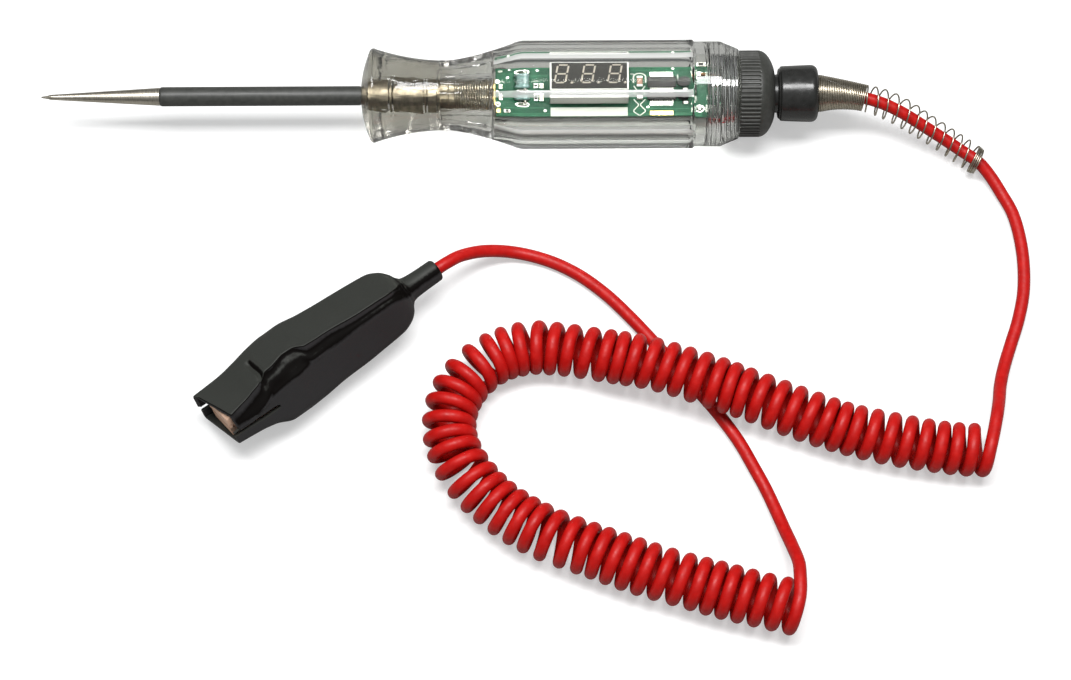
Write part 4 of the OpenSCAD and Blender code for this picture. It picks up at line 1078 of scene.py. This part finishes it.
def boot_relief(x, y, z, ny, nz):
    """Height added along the surface: creases, welts and the soft waves of moulded vinyl."""
    h = 0.0
    if nz > 0.3 and 2 < x < 14:
        dd, w = seg_dist(x, y, CREASE)
        soft = min(1.0, w / 0.12)
        soft *= min(1.0, (1.0 - w) / 0.16)
        h -= 1.0 * soft * math.exp(-(dd / 0.78) ** 2)
        if x < 9:
            h += 0.14 * soft * math.exp(-((dd - 1.6) / 0.8) ** 2)
    if nz > 0.15 and y > 0:
        ye = smooth_table(EDGE_X, EDGE_Y, min(25, max(-52.3, x)))
        e = y - ye
        if -38 < x < 24:
            f = min(1, (x + 38) / 3) * min(1, (24 - x) / 5)
            h += 0.20 * f * math.exp(-((e + 0.30) / 0.45) ** 2)            # welt along the edge of the flat top
            h -= 0.26 * f * math.exp(-((e - 0.62) / 0.42) ** 2)            # and the line under it
            h += 0.34 * f * math.exp(-((e - 1.95 - 0.02 * x) / 0.42) ** 2) * min(1, max(0, (x + 16) / 8))    # rail on the slope
    if -41.9 < x < -39.6:
        h += 0.30 * math.exp(-((x + 41.0) / 0.42) ** 2)
    h += 0.06 * math.sin(x * 0.34 + 1.1 + y * 0.22) * math.sin(z * 0.31 + x * 0.11)
    h += 0.10 * math.exp(-((x + 4.4) / 2.2) ** 2 - ((y - 1.5) / 2.0) ** 2) * (nz > 0.5)
    return h


def boot_piece(name, xs, wall, shrink=None, slot_from=None):
    n = len(xs)
    O, I = [], []
    for i, x in enumerate(xs):
        sh = shrink(x) if shrink else 0.0
        P = boot_ring(x, sh)
        T = np.roll(P, -1, axis=0) - np.roll(P, 1, axis=0)
        N = np.stack([T[:, 1], -T[:, 0]], 1)
        N /= np.maximum(np.linalg.norm(N, axis=1), 1e-9)[:, None]
        Q = boot_ring(x, wall(x) + sh * 0.4)
        for (y, z), (ny, nz) in zip(P, N):
            h = boot_relief(x, y, z, ny, nz) if sh == 0 else 0.0
            xx = x
            if x > 12:                                   # lips end on a slant
                end = 22.4 - 0.215 * y if z > 0 else 23.4 - 0.118 * y
                if z > 0 and y < -6.6:
                    end += 0.5
                xx = 12 + (x - 12) * (end - 12) / 13.0
            O.append((xx, y + ny * h, z + nz * h))
        for y, z in Q:
            xx = x
            if x > 12:
                end = 22.4 - 0.215 * y if z > 0 else 23.4 - 0.118 * y
                xx = 12 + (x - 12) * (end - 12) / 13.0
            I.append((xx, y, z))
    O, I = np.array(O), np.array(I)
    base = n * NR
    F = []
    cut = set(S_FAR + S_NEAR)
    k0 = n if slot_from is None else next(i for i, x in enumerate(xs) if x >= slot_from)
    for i in range(n - 1):
        for j in range(NR):
            j2 = (j + 1) % NR
            if j in cut and i >= k0:
                continue
            a, b, c, e = i * NR + j, i * NR + j2, (i + 1) * NR + j2, (i + 1) * NR + j
            F.append((a, b, c, e))
            F.append((base + a, base + e, base + c, base + b))
    for j in range(NR):
        j2 = (j + 1) % NR
        F.append((j, base + j, base + j2, j2))
        if k0 >= n or j not in cut:
            a, b = (n - 1) * NR + j, (n - 1) * NR + j2
            F.append((a, b, base + b, base + a))
    if k0 < n:
        for j in cut:
            a, b = k0 * NR + j, k0 * NR + (j + 1) % NR
            F.append((a, b, base + b, base + a))
        for j, flip in ((0, 0), (S_FAR[0], 1), ((S_FAR[1] + 1) % NR, 0), (S_NEAR[0], 1)):
            for i in range(k0, n - 1):
                a, b = i * NR + j, (i + 1) * NR + j
                F.append((a, b, base + b, base + a) if flip else (a, base + a, base + b, b))
    ob = new_mesh(name, onclip(np.concatenate([O, I])), F, BOOTM)
    fix_normals(ob)
    ob.data.set_sharp_from_angle(angle=math.radians(50))
    return ob


# matt vinyl with painted shade and highlight, chosen by which way the surface faces: flank and underside a dim grey,
# the slope beside the flat top painted almost black as a shadow band, a lighter stripe at the top's edge as a painted
# rail highlight, and the top a dim greenish grey; the slope also gets almost no gloss
m = Mat("boot_vinyl")
geo = m.n("ShaderNodeNewGeometry")
dot = m.n("ShaderNodeVectorMath", operation="DOT_PRODUCT")
m.link(geo.outputs["Normal"], dot.inputs[0])
up_side = CLIP_R @ np.array([0.0, 0.0, 1.0])
dot.inputs[1].default_value = tuple(float(v) for v in up_side)
grain = m.noise(700.0, 4.0, 0.6)
facing_shade_mask = m.math("ADD", dot.outputs["Value"], m.math("MULTIPLY", m.math("SUBTRACT", grain, 0.5), 0.22))
# painted shade on the slope (stops 0.40 to 0.66) and a painted highlight on the rail (stop 0.82)
m.color(m.ramp(facing_shade_mask, [(0.0, (0.0290, 0.0280, 0.0290)), (0.16, (0.0260, 0.0250, 0.0260)), (0.40, (0.0026, 0.0019, 0.0016)), (0.66, (0.0034, 0.0028, 0.0024)), (0.82, (0.034, 0.0355, 0.031)), (0.93, (0.026, 0.0275, 0.024)), (1.0, (0.026, 0.0275, 0.024))]))
gloss = m.ramp(facing_shade_mask, [(0.16, (0.24, 0.24, 0.24)), (0.40, (0.05, 0.05, 0.05)), (0.66, (0.05, 0.05, 0.05)), (0.84, (0.28, 0.28, 0.28))])
m.link(gloss, m.b.inputs["Specular IOR Level"])
m.rough(m.rng(m.noise(160.0, 3.0, 0.6), 0.3, 0.7, 0.50, 0.66))
m.bump(m.math("ADD", m.math("MULTIPLY", m.noise(3600.0, 2.0, 0.6), 0.4), m.noise(420.0, 3.0, 0.5)), 1.0, 0.05)
BOOTM = m.m

xs_rear = [-52.3, -52.27, -52.2, -52.1, -51.95, -51.75, -51.5] + list(np.linspace(-51.1, -44.2, 15)) + list(np.arange(-43.9, -36.4, 0.22)) + list(np.arange(-36.1, -0.55, 0.5)) + [-0.45, -0.22, 0.0]
rear = boot_piece("boot_rear", xs_rear, lambda x: 1.35 if x < -43 else 1.1, shrink=lambda x: 0.8 - math.sqrt(max(0.0, 0.64 - (0.8 - min(0.8, x + 52.3)) ** 2)) if x < -51.5 else 0.0)
xs_front = [-1.6, -0.9, -0.06, 0.0, 0.22] + list(np.arange(0.45, 12, 0.24)) + list(np.arange(12.2, 24.4, 0.4)) + [24.55, 24.8, 25.0]
front = boot_piece("boot_front", xs_front, lambda x: 1.1, shrink=lambda x: 0.75 if x < -0.03 else 0.30 if x > 24.95 else 0.10 if x > 24.7 else 0.0, slot_from=7.25)
c = CLIP_AT
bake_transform(rear)
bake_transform(front)
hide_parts("clip_boot")
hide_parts("clip_boot")

# copper coloured jaws, pressed from plate
m = Mat("jaw_copper")
m.set(Metallic=0.55)
m.color(m.ramp(m.noise(1400.0, 3.0, 0.6), [(0.3, (0.82, 0.50, 0.35)), (0.7, (0.93, 0.64, 0.48))]))
m.rough(m.rng(m.noise(900.0, 3.0), 0.3, 0.7, 0.36, 0.55))
m.bump(m.noise(2600.0, 2.0, 0.6), 1.0, 0.03)
COPPERJ = m.m
for nm in ("clip_upper_jaw", "clip_lower_jaw"):
    nodes[nm].data.materials.clear()
    nodes[nm].data.materials.append(COPPERJ)

# torsion spring: one leg lies along the upper handle, the other along the lower, and the coil winds between them
hx = [(-0.6 - 0.951 * q, 1.65, 2.1 + 0.309 * q) for q in (11.6, 8.0, 5.0, 2.5, 0.8)]
aa = np.radians(np.linspace(105, 105 - 930, 94))
hy = [(2.2 * math.cos(a), 1.65 - 3.3 * k / 93.0, 2.2 * math.sin(a)) for k, a in enumerate(aa)]
hz = [(-0.6 - 0.951 * q, -1.65, -2.1 - 0.309 * q) for q in (0.8, 2.5, 5.0, 8.0, 11.6)]
V, F = tube_data(onclip(resample(sample(hx + hy + hz, 6), 0.22)), 0.48, 12)
torsion = new_mesh("clip_torsion_spring", V, F, SPRINGM)
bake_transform(torsion)
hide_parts("clip_spring")
# ------------------------------------------------------------------ camera, floor and light
E = math.radians(67.5)
d = np.array([0, math.cos(E), -math.sin(E)])
right = np.array([1.0, 0, 0])
up = np.array([0, math.sin(E), math.cos(E)])
rl = math.radians(0.3)
r2 = right * math.cos(rl) - up * math.sin(rl)
u2 = up * math.cos(rl) + right * math.sin(rl)
cam_pos = np.array([0, 0, 15.1]) - d * 900 - r2 * ((429.0 - 535.5) * 900 / 3125) - u2 * ((340.0 - 95.4) * 900 / 3125)
cam = bpy.data.cameras.new("camera")
cam.sensor_fit = "HORIZONTAL"
cam.sensor_width = 36.0
cam.lens = 3125 / 1071 * 36
cam.clip_start, cam.clip_end = 0.05, 20
cam_ob = bpy.data.objects.new("camera", cam)
scene.collection.objects.link(cam_ob)
M = Matrix.Identity(4)
for i in range(3):
    M[i][0], M[i][1], M[i][2], M[i][3] = r2[i], u2[i], -d[i], cam_pos[i] * 0.001
cam_ob.matrix_world = M
scene.camera = cam_ob

# the floor is pale to the camera; what the glass and the metal mirror of it is a duller sheet, as in a photograph
# whose own ground was a grey table
def floor_material():
    m = Mat("pale_floor")
    m.color(m.ramp(m.noise(3.0, 2.0), [(0.3, (0.32, 0.32, 0.31)), (0.7, (0.34, 0.34, 0.33))]))
    m.set(Roughness=0.85)
    m.b.inputs["Specular IOR Level"].default_value = 0.1
    pale = m.n("ShaderNodeBsdfDiffuse")
    m.link(m.ramp(m.noise(3.0, 2.0), [(0.3, (0.62, 0.62, 0.62)), (0.7, (0.64, 0.64, 0.64))]), pale.inputs["Color"])
    glow = m.n("ShaderNodeEmission")
    glow.inputs["Color"].default_value = (1, 1, 1, 1)
    glow.inputs["Strength"].default_value = 0.42
    add = m.n("ShaderNodeAddShader")
    m.link(pale.outputs[0], add.inputs[0])
    m.link(glow.outputs[0], add.inputs[1])
    lp = m.n("ShaderNodeLightPath")
    mx = m.n("ShaderNodeMixShader")
    m.link(lp.outputs["Is Camera Ray"], mx.inputs["Fac"])
    m.link(m.b.outputs["BSDF"], mx.inputs[1])
    m.link(add.outputs[0], mx.inputs[2])
    m.link(mx.outputs["Shader"], m.out.inputs["Surface"])
    return m.m


floor = new_mesh("floor", [(-1500, -1700, -0.05), (1500, -1700, -0.05), (1500, 1500, -0.05), (-1500, 1500, -0.05)], [(0, 1, 2, 3)], floor_material(), smooth=False)

# a dim room, lighter overhead
w = bpy.data.worlds.new("studio")
scene.world = w
w.use_nodes = True
wt = w.node_tree
tc = wt.nodes.new("ShaderNodeTexCoord")
sep = wt.nodes.new("ShaderNodeSeparateXYZ")
wt.links.new(tc.outputs["Generated"], sep.inputs[0])
rp = wt.nodes.new("ShaderNodeValToRGB")
rp.color_ramp.interpolation = "EASE"
els = rp.color_ramp.elements
for pos, val in ((0.22, 0.30), (0.55, 0.34), (0.82, 0.42)):
    els.new(pos)
for e_, (pos, val) in zip(els, ((0.0, 0.10), (0.22, 0.16), (0.55, 0.24), (0.82, 0.40), (1.0, 0.55))):
    e_.position = pos
    e_.color = (val * 0.97, val, val * 1.0, 1)
wt.links.new(sep.outputs["Z"], rp.inputs[0])
wt.links.new(rp.outputs[0], wt.nodes["Background"].inputs["Color"])
wt.nodes["Background"].inputs["Strength"].default_value = 1.0


def area(name, loc, target, sx, sy, power, col=(1, 1, 1)):
    l = bpy.data.lights.new(name, "AREA")
    l.shape = "RECTANGLE"
    l.size, l.size_y = sx, sy
    l.energy = power
    l.color = col
    o = bpy.data.objects.new(name, l)
    scene.collection.objects.link(o)
    v = Vector(target) - Vector(loc)
    o.rotation_mode = "QUATERNION"
    o.rotation_quaternion = v.to_track_quat("-Z", "Y")
    o.location = loc
    return o


area("key", (0.03, 0.06, 1.15), (0.03, -0.06, 0), 0.9, 0.34, 17)
scene.view_settings.view_transform = "Standard"
scene.view_settings.look = "None"
scene.view_settings.exposure = 0.0
